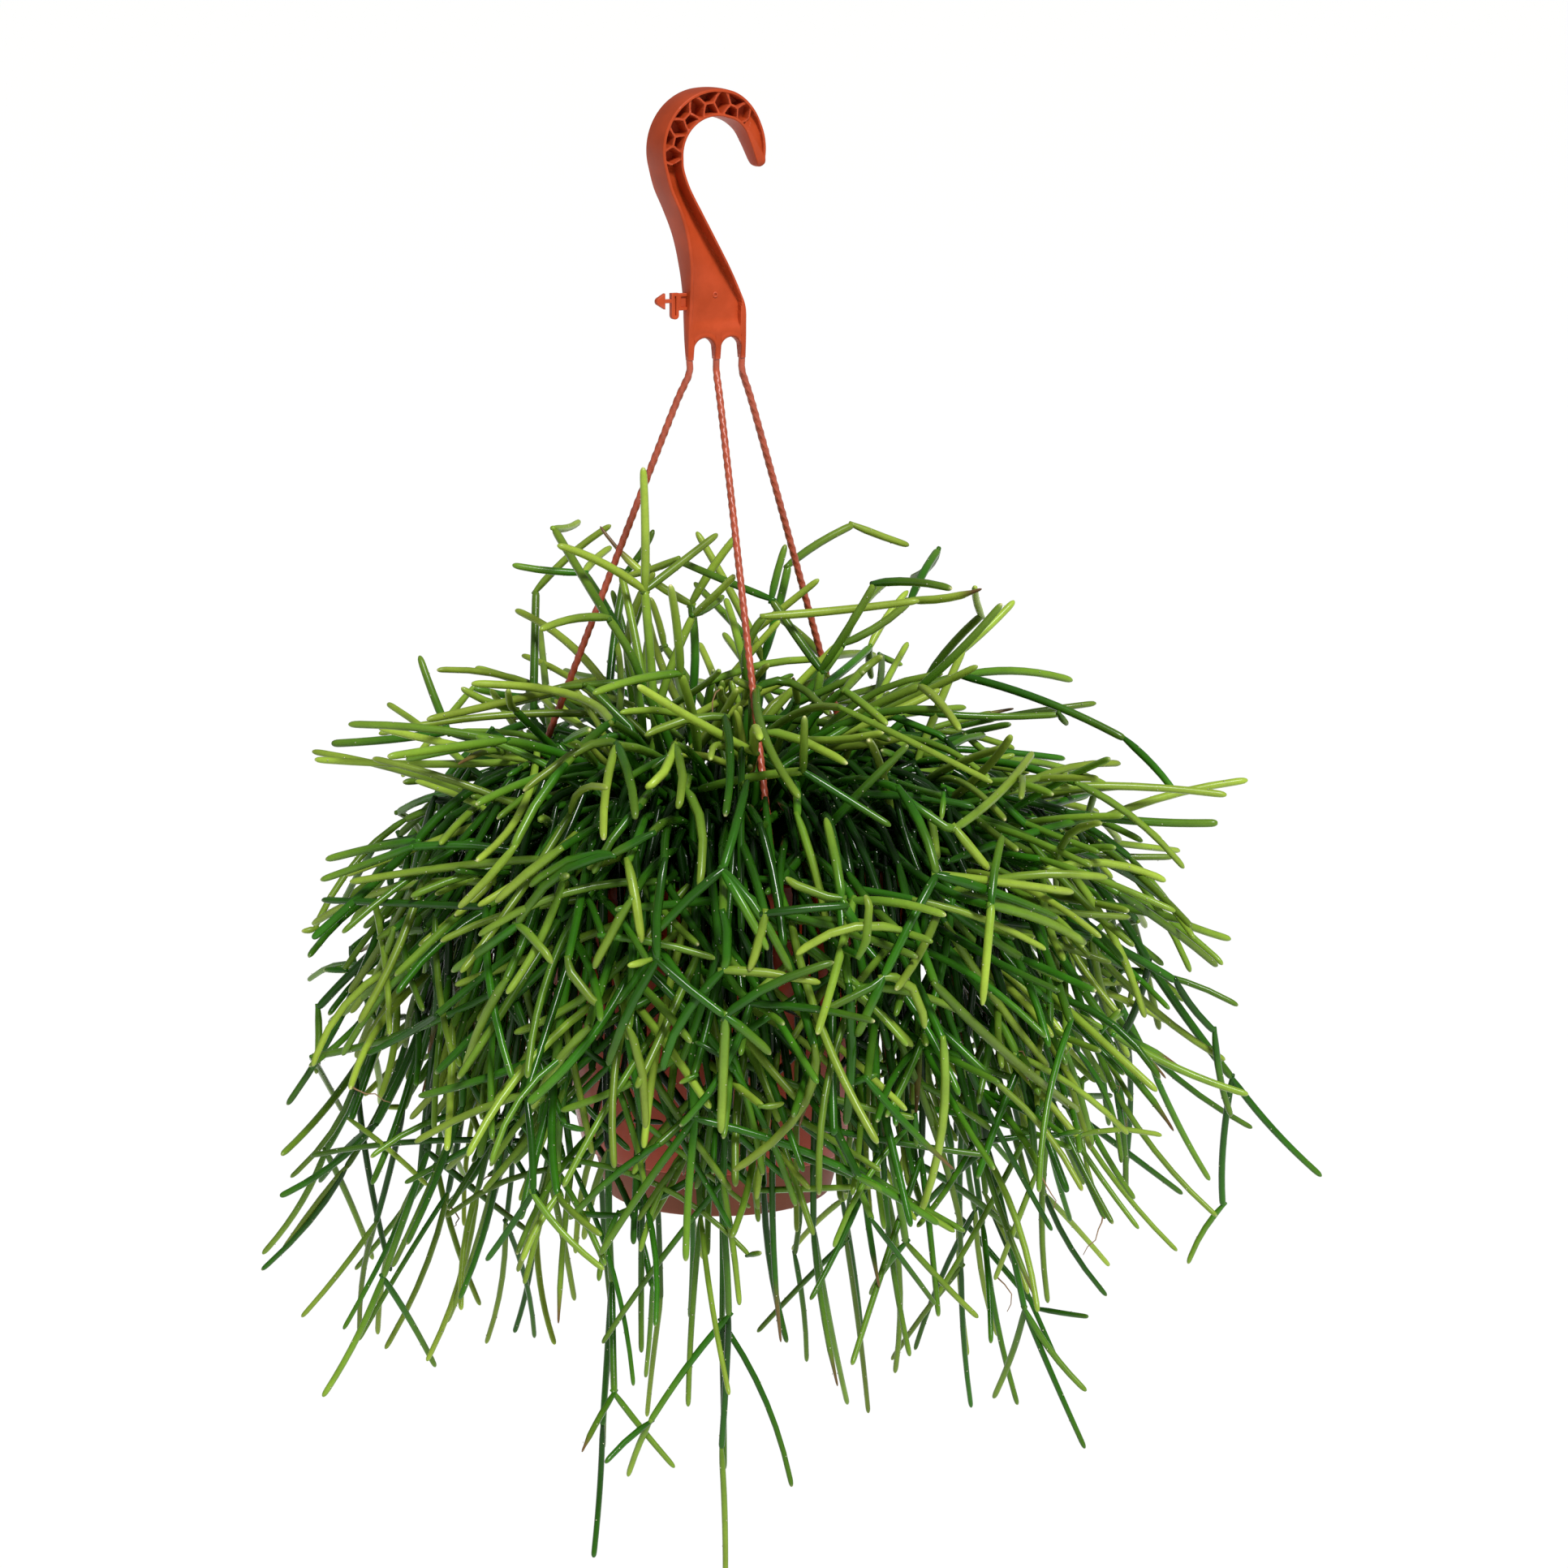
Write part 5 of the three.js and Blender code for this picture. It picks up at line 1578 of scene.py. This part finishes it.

# The stems that stand out at the front: how far each group stands out of the dense mass, and its
# stems. It hangs from its first place, to which a rooted stem runs. A stem is three places (x, z),
# given where they show on the plant's middle plane.
EYE = (-1650, 80)  # y and z that they are seen from
FRONT = (
    (4, (((-40, -226), (-56, -215), (-92, -211)), ((-40, -226), (-49, -233), (-58, -243)),
        ((-58, -243), (-69, -258), (-77, -274)), ((-77, -274), (-87, -286), (-98, -297)))),
    (8, (((-38, -234), (-51, -236), (-73, -252)), ((-38, -234), (-33, -248), (-31, -263)),
        ((-38, -235), (-42, -252), (-43, -271)))),
    (6, (((3, -224), (-12, -225), (-27, -231)), ((3, -224), (5, -242), (3, -262)))),
    (9, (((15, -213), (18, -232), (31, -255)), ((15, -213), (28, -211), (42, -223)),
        ((15, -213), (9, -211), (7, -209)))),
    (4, (((-16, -235), (-20, -245), (-27, -251)), ((-16, -235), (-13, -247), (-15, -259)))),
    (5, (((20, -230), (32, -233), (49, -242)),)),
    (1, (((-12, -252), (-6, -266), (-7, -289)),)),
    (7, (((11, -250), (7, -266), (2, -283)), ((2, -283), (-11, -294), (-23, -307)),
        ((2, -283), (10, -297), (19, -314)), ((2, -283), (16, -300), (28, -323)))),
    (7, (((-25, -269), (-33, -273), (-40, -277)), ((-40, -277), (-56, -279), (-71, -289)),
        ((-40, -277), (-61, -285), (-76, -304)), ((-76, -304), (-87, -312), (-101, -322)),
        ((-76, -304), (-69, -310), (-63, -319)))),
    (2, (((-30, -259), (-40, -271), (-47, -284)),)),
    (11, (((-60, -275), (-72, -284), (-84, -295)),)),
    (3, (((-33, -295), (-41, -308), (-47, -321)), ((-34, -280), (-31, -295), (-29, -311)))),
    (8, (((18, -300), (16, -310), (12, -322)), ((18, -300), (34, -298), (50, -297)))),
    (2, (((48, -214), (56, -220), (64, -227)), ((48, -214), (55, -206), (62, -201)))),
    (4, (((69, -252), (78, -268), (83, -285)), ((69, -252), (79, -263), (90, -267)),
        ((90, -267), (106, -254), (119, -238)), ((90, -267), (97, -276), (103, -283)),
        ((83, -285), (74, -302), (63, -325)), ((83, -285), (107, -288), (135, -292)),
        ((83, -285), (105, -292), (129, -302)), ((63, -325), (57, -339), (53, -348)),
        ((63, -325), (74, -329), (79, -345)), ((63, -325), (52, -333), (40, -337)))),
    (9, (((104, -297), (105, -284), (108, -270)), ((104, -297), (103, -310), (101, -336)),
        ((104, -297), (124, -303), (140, -312)))),
    (5, (((54, -306), (50, -300), (47, -294)), ((47, -294), (45, -280), (41, -263)),
        ((47, -294), (36, -292), (26, -286)))),
    (10, (((68, -306), (48, -306), (30, -316)),)),
    (12, (((54, -316), (58, -304), (56, -293)),)),
    (9, (((-20, -280), (-23, -300), (-23, -318)), ((-23, -318), (-11, -329), (3, -340)),
        ((3, -340), (12, -347), (20, -355)), ((3, -340), (20, -328), (44, -319)),
        ((3, -340), (2, -362), (1, -386)), ((-23, -318), (-34, -338), (-42, -359)))),
    (6, (((2, -300), (4, -312), (2, -322)), ((2, -322), (-14, -342), (-21, -361)),
        ((2, -322), (18, -323), (39, -327)))),
    (4, (((-34, -345), (-29, -362), (-28, -384)), ((50, -329), (51, -356), (49, -383)))),
    (8, (((37, -353), (31, -378), (6, -401)), ((-57, -318), (-53, -328), (-44, -336)))),
    (5, (((-50, -345), (-62, -359), (-71, -376)), ((-81, -326), (-90, -342), (-97, -361)))),
    (2, (((86, -350), (86, -384), (78, -418)), ((83, -328), (110, -355), (138, -378)))),
)


def dense_reach(p, loose):
    """How far from the axis the dense mass reaches in the direction of a place."""
    heights, reaches = zip(*DENSE)
    height = p[2] + (loose - 1) * (-70 if p[2] > -250 else 70)
    leaning = 1 + LEAN * p[0] / max(math.hypot(p[0], p[1]), 1)
    return np.interp(height, heights, reaches) * loose * leaning


def seen_at(x, y, z):
    """The place at depth y that shows at x and z on the plant's middle plane."""
    nearer = 1 - y / EYE[0]
    return np.array([x * nearer, y, EYE[1] + (z - EYE[1]) * nearer])


def at_front(x, z, lift):
    """A place on the front of the dense mass, from where it shows on the plant's middle plane."""
    for y in np.arange(-20, -180, -1.0):
        p = seen_at(x, y, z)
        if math.hypot(p[0], y) >= dense_reach(p, 1) + lift:
            return p
    raise RuntimeError(f"a front stem at {x}, {z} misses the plant")


def hides(points):
    """Whether a stem would cover the front strand or the hollow beside it."""
    for a, b in zip(points, points[1:]):
        for share in (0.25, 0.5, 0.75, 1):
            p = a + (b - a) * share
            nearer = 1 - p[1] / EYE[0]
            x, z = p[0] / nearer, EYE[1] + (p[2] - EYE[1]) / nearer
            before = p[1] < -STRAND_RUN * (LEG_END_Z - p[2])
            beside = abs(x - np.interp(-z, *STRAND_VIEW)) < STRAND_MARGIN
            if before and beside and STRAND_SEEN[0] < z < STRAND_SEEN[1]:
                return True
            if p[1] < -40 and HOLLOW[0] < x < HOLLOW[1] and HOLLOW[2] < z < HOLLOW[3]:
                return True
    return False


def flow(p, turn, tilt):
    """The way in which most stems at a place grow: outwards, and down once past the rim."""
    azimuth = math.atan2(p[1], p[0]) + turn
    heights, slopes = zip(*FLOW)
    slope = math.radians(np.interp(p[2], heights, slopes) + tilt)
    return from_axis(math.cos(slope), azimuth, -math.sin(slope))


class Thicket:
    """The stems between the frame's own: the same growth, but denser."""

    def __init__(self, plant, seed):
        self.plant = plant
        self.draws = Draws(seed)
        self.stems = []
        self.rootlets = []

    def note(self, points, r, level, dry=0.0):
        """Notes a joint for drawing."""
        self.stems.append(joint_stem(points, r, level, self.draws, dry))

    def note_leader(self, leader, k, width, level, dry=0.0):
        """Notes a rooted stem's joint for drawing."""
        self.stems.append(leader_joint(leader, k, width, level, self.draws, dry))

    def crossings(self, points, r):
        """How many stretches a stem would pass through."""
        hits = 0
        near = (r + self.plant.radii) * TOUCH
        for a, b in list(zip(points, points[1:]))[1:]:
            hits += int(np.count_nonzero(self.plant.distances(a, b, self.plant.ends) < near))
        return hits

    def clear_stretch(self, a, b, r):
        """Whether a stretch of stem is clear of the pot and of the strands."""
        strand_ends = self.plant.strand_ends
        return clears_pot(a, b, r) and self.plant.distances(a, b, strand_ends).min() >= r + STRAND_ROOM

    def fits(self, stem, r):
        """Whether a side stem stays in the plant's outline and clear of the pot and the strands."""
        end = stem[-1]
        out = math.hypot(end[0], end[1])
        if out > dense_reach(end, 1 + 0.28 * self.draws.draw() ** 3) or end[1] > BACK_LIMIT:
            return False
        if self.draws.chance(THINNING * smooth_step(-end[2], 350, 420)):
            return False
        if self.draws.chance(PARTED) and hides(stem):
            return False
        return all(self.clear_stretch(a, b, r) for a, b in zip(stem, stem[1:]))

    def fork(self, start, direction, order, count, vigour):
        """Side stems at a joint, and theirs. Returns how many grew."""
        between = self.draws.between
        first = between(-55, 55) + (180 if self.draws.chance(0.5) else 0)
        grown = 0
        for k in range(count):
            r = SIDE_R[order] * between(0.9, 1.08)
            found, best = None, MOST_CROSSED + 1
            for _ in range(SIDE_TRIES):
                around = first + k * 360 / max(count, 2) + between(-28, 28)
                aslant = between(-1, 1)
                way = flow(start, math.copysign(abs(aslant) ** 0.6, aslant) * ASLANT, between(-38, 28))
                heading = turned(unit(direction + 0.6 * way), between(*SIDE_FORK), around)
                long = between(*BRANCHES[order])
                middle = start + heading * long * 0.5
                droop = between(-0.1, 0.45) if start[2] < -230 else between(-0.25, 0.25)
                aside = np.array([between(-0.25, 0.25), between(-0.25, 0.25), -droop])
                bent = unit(heading + 0.15 * way + aside)
                end = middle + bent * long * 0.5
                if not self.fits([start, middle, end], r):
                    continue
                hits = self.crossings([start, middle, end], r)
                if hits < best:
                    found, best = (middle, end), hits
                if best == 0:
                    break
            if found is None:
                continue
            middle, end = found
            grown += 1
            self.plant.take([middle, end], r)
            again = self.draws.chance(vigour[order])
            forks = (2 if self.draws.chance(0.75) else 3) if again else 0
            onward = unit(end - middle)
            children = self.fork(end, onward, order + 1, forks, vigour) if order < 2 else 0
            if self.draws.chance(BUDS):
                self.bud(end, onward)
            elif self.draws.chance(ROOTLETS):
                self.rootlet(end, onward)
            level = 1 if children else 0
            dry = between(0.08, 0.25) if self.draws.chance(DRIED) and not level else 0
            self.note([start, middle, end], r, level, dry)
        return grown

    def bud(self, at, direction):
        """A young bud a few millimetres long beside a joint."""
        between = self.draws.between
        heading = turned(direction, between(40, 80), between(0, 360))
        end = at + heading * between(5, 11)
        if self.fits([at, end], 1.2):
            self.note([at, end], between(1.2, 1.5), 0)

    def rootlet(self, at, direction):
        """A thin, dry, crooked root that a joint has put out into the air."""
        between = self.draws.between
        points = [at - direction * 1.5]
        heading = turned(direction, between(30, 80), between(0, 360))
        for _ in range(5):
            points.append(points[-1] + heading * between(2.5, 5))
            heading = unit(turned(heading, between(20, 60), between(0, 360)) + np.array([0, 0, -0.35]))
        self.rootlets.append(points)

    def hem(self):
        """The long single stems that hang out below the dense mass."""
        between = self.draws.between
        for x, z, y, slope in HEM:
            want = (seen_at(x, y, z), slope, between(24, 60), between(50, 74))
            found = self.best_leader(want, tries=16, r=1.5, most=40)
            if found is None:
                continue
            self.plant.take(found, 1.4)
            joints = joint_count(found)
            for k in range(1, joints + 1):
                at, direction = joint_end(found, k)
                level = min(joints - k, 1) if at[2] < HEM_Z else joints - k
                dry = between(0.08, 0.2) if k == joints and self.draws.chance(0.15) else 0
                width = 1.75 - 0.2 * k / joints
                self.note_leader(found, k, width, level, dry)
                if k == joints - 1:
                    self.stray(at, direction)

    def stray(self, start, direction):
        """One long thin stem that leaves a hem stem at a joint."""
        between = self.draws.between
        for _ in range(8):
            heading = turned(direction, between(16, 42), between(0, 360))
            long = between(40, 92)
            middle = start + heading * long * 0.5
            bent = unit(heading + np.array([between(-0.2, 0.2), between(-0.2, 0.2), between(-0.3, 0.05)]))
            end = middle + bent * long * 0.5
            stem = [start, middle, end]
            inside = math.hypot(end[0], end[1]) < reach_at(end[2])
            inside = inside and HEM_LIMIT < end[2] and end[1] < BACK_LIMIT
            if inside and self.leader_fits([start, *stem], 1.4) and self.crossings(stem, 1.2) < 2:
                self.plant.take(stem[1:], 1.3)
                self.note(stem, between(1.45, 1.7), 0)
                return

    def dress(self, sprays):
        """More side stems at the joints of the frame's own leaders."""
        for spray in sprays:
            joints = joint_count(spray["leader"])
            for k in range(1, joints + 1):
                at, direction = joint_end(spray["leader"], k)
                last = k == joints
                if last:
                    wanted = 2 if self.draws.chance(0.35) and not spray["forks"][k] else 0
                else:
                    wanted = int(self.draws.between(0.5, 1.9))
                if at[2] > -225 and self.draws.chance(0.6):
                    continue
                self.fork(at, direction, 0, wanted, DRESSED)
                if wanted and last:
                    spray["forks"][k] = 1

    def front(self):
        """The stems that stand out at the front, each group on a rooted stem of its own."""
        for lift, group in FRONT:
            stems = [[at_front(x, z, lift) for x, z in stem] for stem in group]
            carried = []
            for stem in stems:
                if not any(np.allclose(stem[0], end) for end in carried):
                    self.carry(stem[0], unit(stem[1] - stem[0]))
                    carried.append(stem[0])
                carried.append(stem[-1])
            for stem in stems:
                forked = any(np.allclose(stem[-1], other[0]) for other in stems)
                r = self.draws.between(1.78, 1.95)
                self.plant.take(stem, r)
                self.note(stem, r, 1 if forked else 0)

    def carry(self, place, onward):
        """A rooted stem that runs to a place, turning onward there."""
        rise = 0.5 * onward[2] + 0.5 * flow(place, 0, 0)[2]
        slope = -math.degrees(math.asin(max(-1, min(1, rise))))
        found, best = None, 999
        for attempt in range(10):
            want = (place, slope, self.draws.between(20, 50), 44)
            trial = leader_try(want, attempt / 8, self.draws)
            blocked = not self.leader_fits(trial[:-2], 1.8)
            hits = self.crossings(trial, CROSSING_R) + (40 if blocked else 0)
            if hits < best:
                found, best = trial, hits
        self.plant.take(found, 1.8)
        count = joint_count(found)
        for k in range(1, count + 1):
            self.note_leader(found, k, 1.8 if k > 1 else 1.85, count - k + 1)

    def root(self, count):
        """Rooted stems all over the peat, each with its forks."""
        between = self.draws.between
        for k in range(count):
            azimuth = GOLDEN_ANGLE * k + between(-0.3, 0.3)
            if self.draws.chance(0.54):
                # a curtain close to the pot's rim and wall, thickest at the front
                if self.draws.chance(0.46):
                    azimuth = -math.pi / 2 + between(-1.15, 1.15)
                z = between(-268, -405)
                low = smooth_step(-z, 310, 380)
                reach = between(98 - 14 * low, 130 - 8 * low)
                slope, root_r = between(14, 66), between(24, 62)
            else:
                level = self.draws.draw()
                z = DOME_TOP_Z - DOME_DEPTH * level
                reach = dense_reach(from_axis(1, azimuth, z), 1) * between(0.6, 0.95)
                slope, root_r = -46 + 88 * level + between(-16, 16), between(4, 56)
                if z > -236 and self.draws.chance(0.6):
                    reach *= between(0.1, 0.7)
                    slope = between(-80, -30)
            want = (from_axis(reach, azimuth, z), slope, root_r, between(38, 62))
            self.root_one(want, most=15, radii=(1.55, 1.95))

    def veil(self, count):
        """Rooted stems that hang close in front of the pot's lower wall."""
        between = self.draws.between
        for _ in range(count):
            azimuth = -math.pi / 2 + between(-0.85, 0.85)
            tip = from_axis(between(88, 114), azimuth, between(-398, -335))
            want = (tip, between(25, 68), between(28, 62), between(38, 60))
            self.root_one(want, most=18, radii=(1.5, 1.75))

    def root_one(self, want, most, radii):
        """One rooted stem with its forks, where one fits that crosses fewer than most others."""
        found = self.best_leader(want, tries=8, r=1.8, most=most)
        if found is not None:
            r = self.draws.between(*radii) * (0.9 if want[0][2] < -400 else 1)
            self.plant.take(found, r)
            self.clothe(found, r)

    def best_leader(self, want, tries, r, most):
        """The rooted stem that meets the fewest others, out of some tries."""
        found, best = None, most
        for attempt in range(tries):
            trial = leader_try(want, 0.5 + attempt / 4, self.draws)
            if self.leader_fits(trial, r):
                hits = self.crossings(trial, CROSSING_R) + (9 if hides(trial[2:]) else 0)
                if hits < best:
                    found, best = trial, hits
        return found

    def leader_fits(self, points, r):
        """Whether a rooted stem is clear of the pot and of the strands."""
        return all(self.clear_stretch(a, b, r) and b[1] <= BACK_LIMIT
                   for a, b in list(zip(points, points[1:]))[1:])

    def clothe(self, leader, r):
        """Forks a rooted stem at its joints and notes its joints for drawing."""
        joints = joint_count(leader)
        for k in range(1, joints + 1):
            last = k == joints
            if last:
                wanted = 2 if self.draws.chance(0.7) else 3
            else:
                wanted = int(self.draws.between(0.4, 1.8) if k > 1 else self.draws.between(0, 1.3))
            children = self.fork(*joint_end(leader, k), 0, wanted, CLOTHED)
            level = joints - k + (1 if last and children else 0)
            self.note_leader(leader, k, r * (1.06 - 0.14 * k / joints), level)


GROWN = {}
SPRAY_OFF = 3.2  # most that a stem's middle line may lie off its node's box


def grown(context):
    """The frame's sprays and the thicket between them, grown once."""
    if not GROWN:
        plant = Plant(context.scene.cactus_hanger.yaw).grow()
        for spray in plant.sprays:
            check_spray(spray)
        thicket = Thicket(plant, 4711)
        thicket.front()
        thicket.hem()
        thicket.dress(plant.sprays)
        thicket.root(context.scene.cactus_plant.filling)
        thicket.veil(context.scene.cactus_plant.veil)
        GROWN.update(sprays=plant.sprays, thicket=thicket.stems, rootlets=thicket.rootlets)
    return GROWN


def check_spray(spray):
    """Stops if a spray doesn't lie where the frame has it."""
    low, high = size_of(spray["node"])
    points = np.array(spray["leader"] + [p for stem in spray["stems"] for p in stem["points"]])
    off = max(np.abs(points.min(0) - low).max(), np.abs(points.max(0) - high).max())
    if off > SPRAY_OFF:
        raise RuntimeError(f"{spray['node']} is {off:.1f} mm from its place in the frame")


def stem_materials(settings):
    """Skin, wool and dried tissue, in the order of the parts' material numbers."""
    return [
        once("waxy_stem_skin", waxy_stem_skin, settings),
        once("areole_wool", plain_grain, linear("#C9C8A8"), spread=0.2, mark=0.5, roughness=0.9),
        once("dried_rootlet", plain_grain, linear("#8A6A48"), spread=0.3, mark=1.5, roughness=0.8),
    ]


class CACTUS_OT_sprays(bpy.types.Operator):
    """Builds the frame's own stems, one piece for each spray"""

    bl_idname = "cactus.sprays"
    bl_label = "Sprays"

    def execute(self, context):
        settings = context.scene.cactus_plant
        materials = stem_materials(settings)
        draws = Draws(31)
        for spray in grown(context)["sprays"]:
            node = spray["node"]
            parts = []
            for stem in own_joints(spray, draws):
                parts += stem_parts(stem, settings.sides, settings.step / MM, True)
            make_piece("fine_" + node, parts, materials[:2], [node])
        return {"FINISHED"}


class CACTUS_OT_thicket(bpy.types.Operator):
    """Builds the stems that grow between the frame's own, in pieces by where they lie"""

    bl_idname = "cactus.thicket"
    bl_label = "Thicket"

    def execute(self, context):
        settings = context.scene.cactus_plant
        materials = stem_materials(settings)
        groups = {}
        for stem in grown(context)["thicket"]:
            x, y, z = stem["end"]
            quarter = ((math.degrees(math.atan2(y, x)) + 135) % 360) // 90
            side = ("front", "right", "back", "left")[int(quarter)]
            storey = "top" if z > -215 else "middle" if z > -300 else "low"
            groups.setdefault(f"stems_{side}_{storey}", []).append(stem)
        for name, stems in sorted(groups.items()):
            parts = []
            for stem in stems:
                x, y, z = stem["end"]
                outer = stem["young"] or math.hypot(x, y) > 0.6 * reach_at(z)
                sides, coarser = (settings.sides - 2, 1.7) if outer else (settings.sides - 3, 2.6)
                parts += stem_parts(stem, sides, settings.step / MM * coarser, outer)
            make_piece(name, parts, materials[:2])
        threads = [tube(points, np.linspace(0.34, 0.14, len(points)), 5)
                   for points in grown(context)["rootlets"]]
        make_piece("aerial_rootlets", threads, [materials[2]])
        return {"FINISHED"}


# ---------- the studio ----------
class CACTUS_OT_studio(bpy.types.Operator):
    """Builds the plain floor, the soft lights and the camera"""

    bl_idname = "cactus.studio"
    bl_label = "Studio"

    def execute(self, context):
        settings = context.scene.cactus_studio
        scene = context.scene
        scene.view_settings.view_transform = "Standard"
        paint, tree, shader = new_material("matt_floor_paint")
        wire(tree, shader, {"Base Color": (*settings.floor_colour, 1), "Roughness": 0.95,
                            "Specular IOR Level": 0.1}, {})
        mesh = bpy.data.meshes.new("floor")
        sides, wide = 64, 140.0  # metres
        ring = [from_axis(wide, a, settings.floor_z) for a in np.arange(sides) * 2 * math.pi / sides]
        mesh.from_pydata(ring, [], [tuple(range(sides))])
        mesh.materials.append(paint)
        floor = bpy.data.objects.new("floor", mesh)
        scene.collection.objects.link(floor)

        lens = bpy.data.cameras.new("camera")
        lens.angle = settings.view
        lens.clip_end = 400
        camera = bpy.data.objects.new("camera", lens)
        camera.location = (0, -settings.distance, settings.height)
        camera.rotation_euler = (math.pi / 2 - settings.pitch, 0, -settings.turn)
        scene.collection.objects.link(camera)
        scene.camera = camera

        sun = bpy.data.lights.new("key", "SUN")
        sun.energy = settings.key
        sun.angle = math.radians(14)
        key = bpy.data.objects.new("key", sun)
        key.rotation_euler = (math.radians(42), math.radians(8), math.radians(16))
        scene.collection.objects.link(key)

        world = bpy.data.worlds.new("studio")
        world.use_nodes = True
        sky = world.node_tree.nodes["Background"]
        sky.inputs["Color"].default_value = (1, 1, 1, 1)
        sky.inputs["Strength"].default_value = settings.fill
        scene.world = world
        return {"FINISHED"}


class CACTUS_PT_panel(bpy.types.Panel):
    """The builder's settings and its operators"""

    bl_idname = "CACTUS_PT_panel"
    bl_label = "Mistletoe cactus"
    bl_space_type = "VIEW_3D"
    bl_region_type = "UI"
    bl_category = "Cactus"

    def draw(self, context):
        for group in SETTINGS:
            settings = getattr(context.scene, group)
            box = self.layout.box()
            for key in settings.__annotations__:
                box.prop(settings, key)
        for operator in OPERATORS:
            self.layout.operator(operator.bl_idname)


SETTINGS = {
    "cactus_hanger": HangerSettings,
    "cactus_pot": PotSettings,
    "cactus_plant": PlantSettings,
    "cactus_studio": StudioSettings,
}
OPERATORS = (
    CACTUS_OT_studio, CACTUS_OT_hook, CACTUS_OT_strands, CACTUS_OT_pot, CACTUS_OT_saucer,
    CACTUS_OT_peat, CACTUS_OT_sprays, CACTUS_OT_thicket,
)


def register():
    """Makes the settings, the operators and the panel known to Blender."""
    for kind in (*SETTINGS.values(), *OPERATORS, CACTUS_PT_panel):
        bpy.utils.register_class(kind)
    for name, kind in SETTINGS.items():
        setattr(bpy.types.Scene, name, bpy.props.PointerProperty(type=kind))


def unregister():
    """Takes back what register made known."""
    for name in SETTINGS:
        delattr(bpy.types.Scene, name)
    for kind in (CACTUS_PT_panel, *reversed(OPERATORS), *SETTINGS.values()):
        bpy.utils.unregister_class(kind)


def main():
    """Builds the whole scene."""
    register()
    for operator in OPERATORS:
        getattr(bpy.ops.cactus, operator.bl_idname.split(".")[1])()


if __name__ == "__main__":
    main()
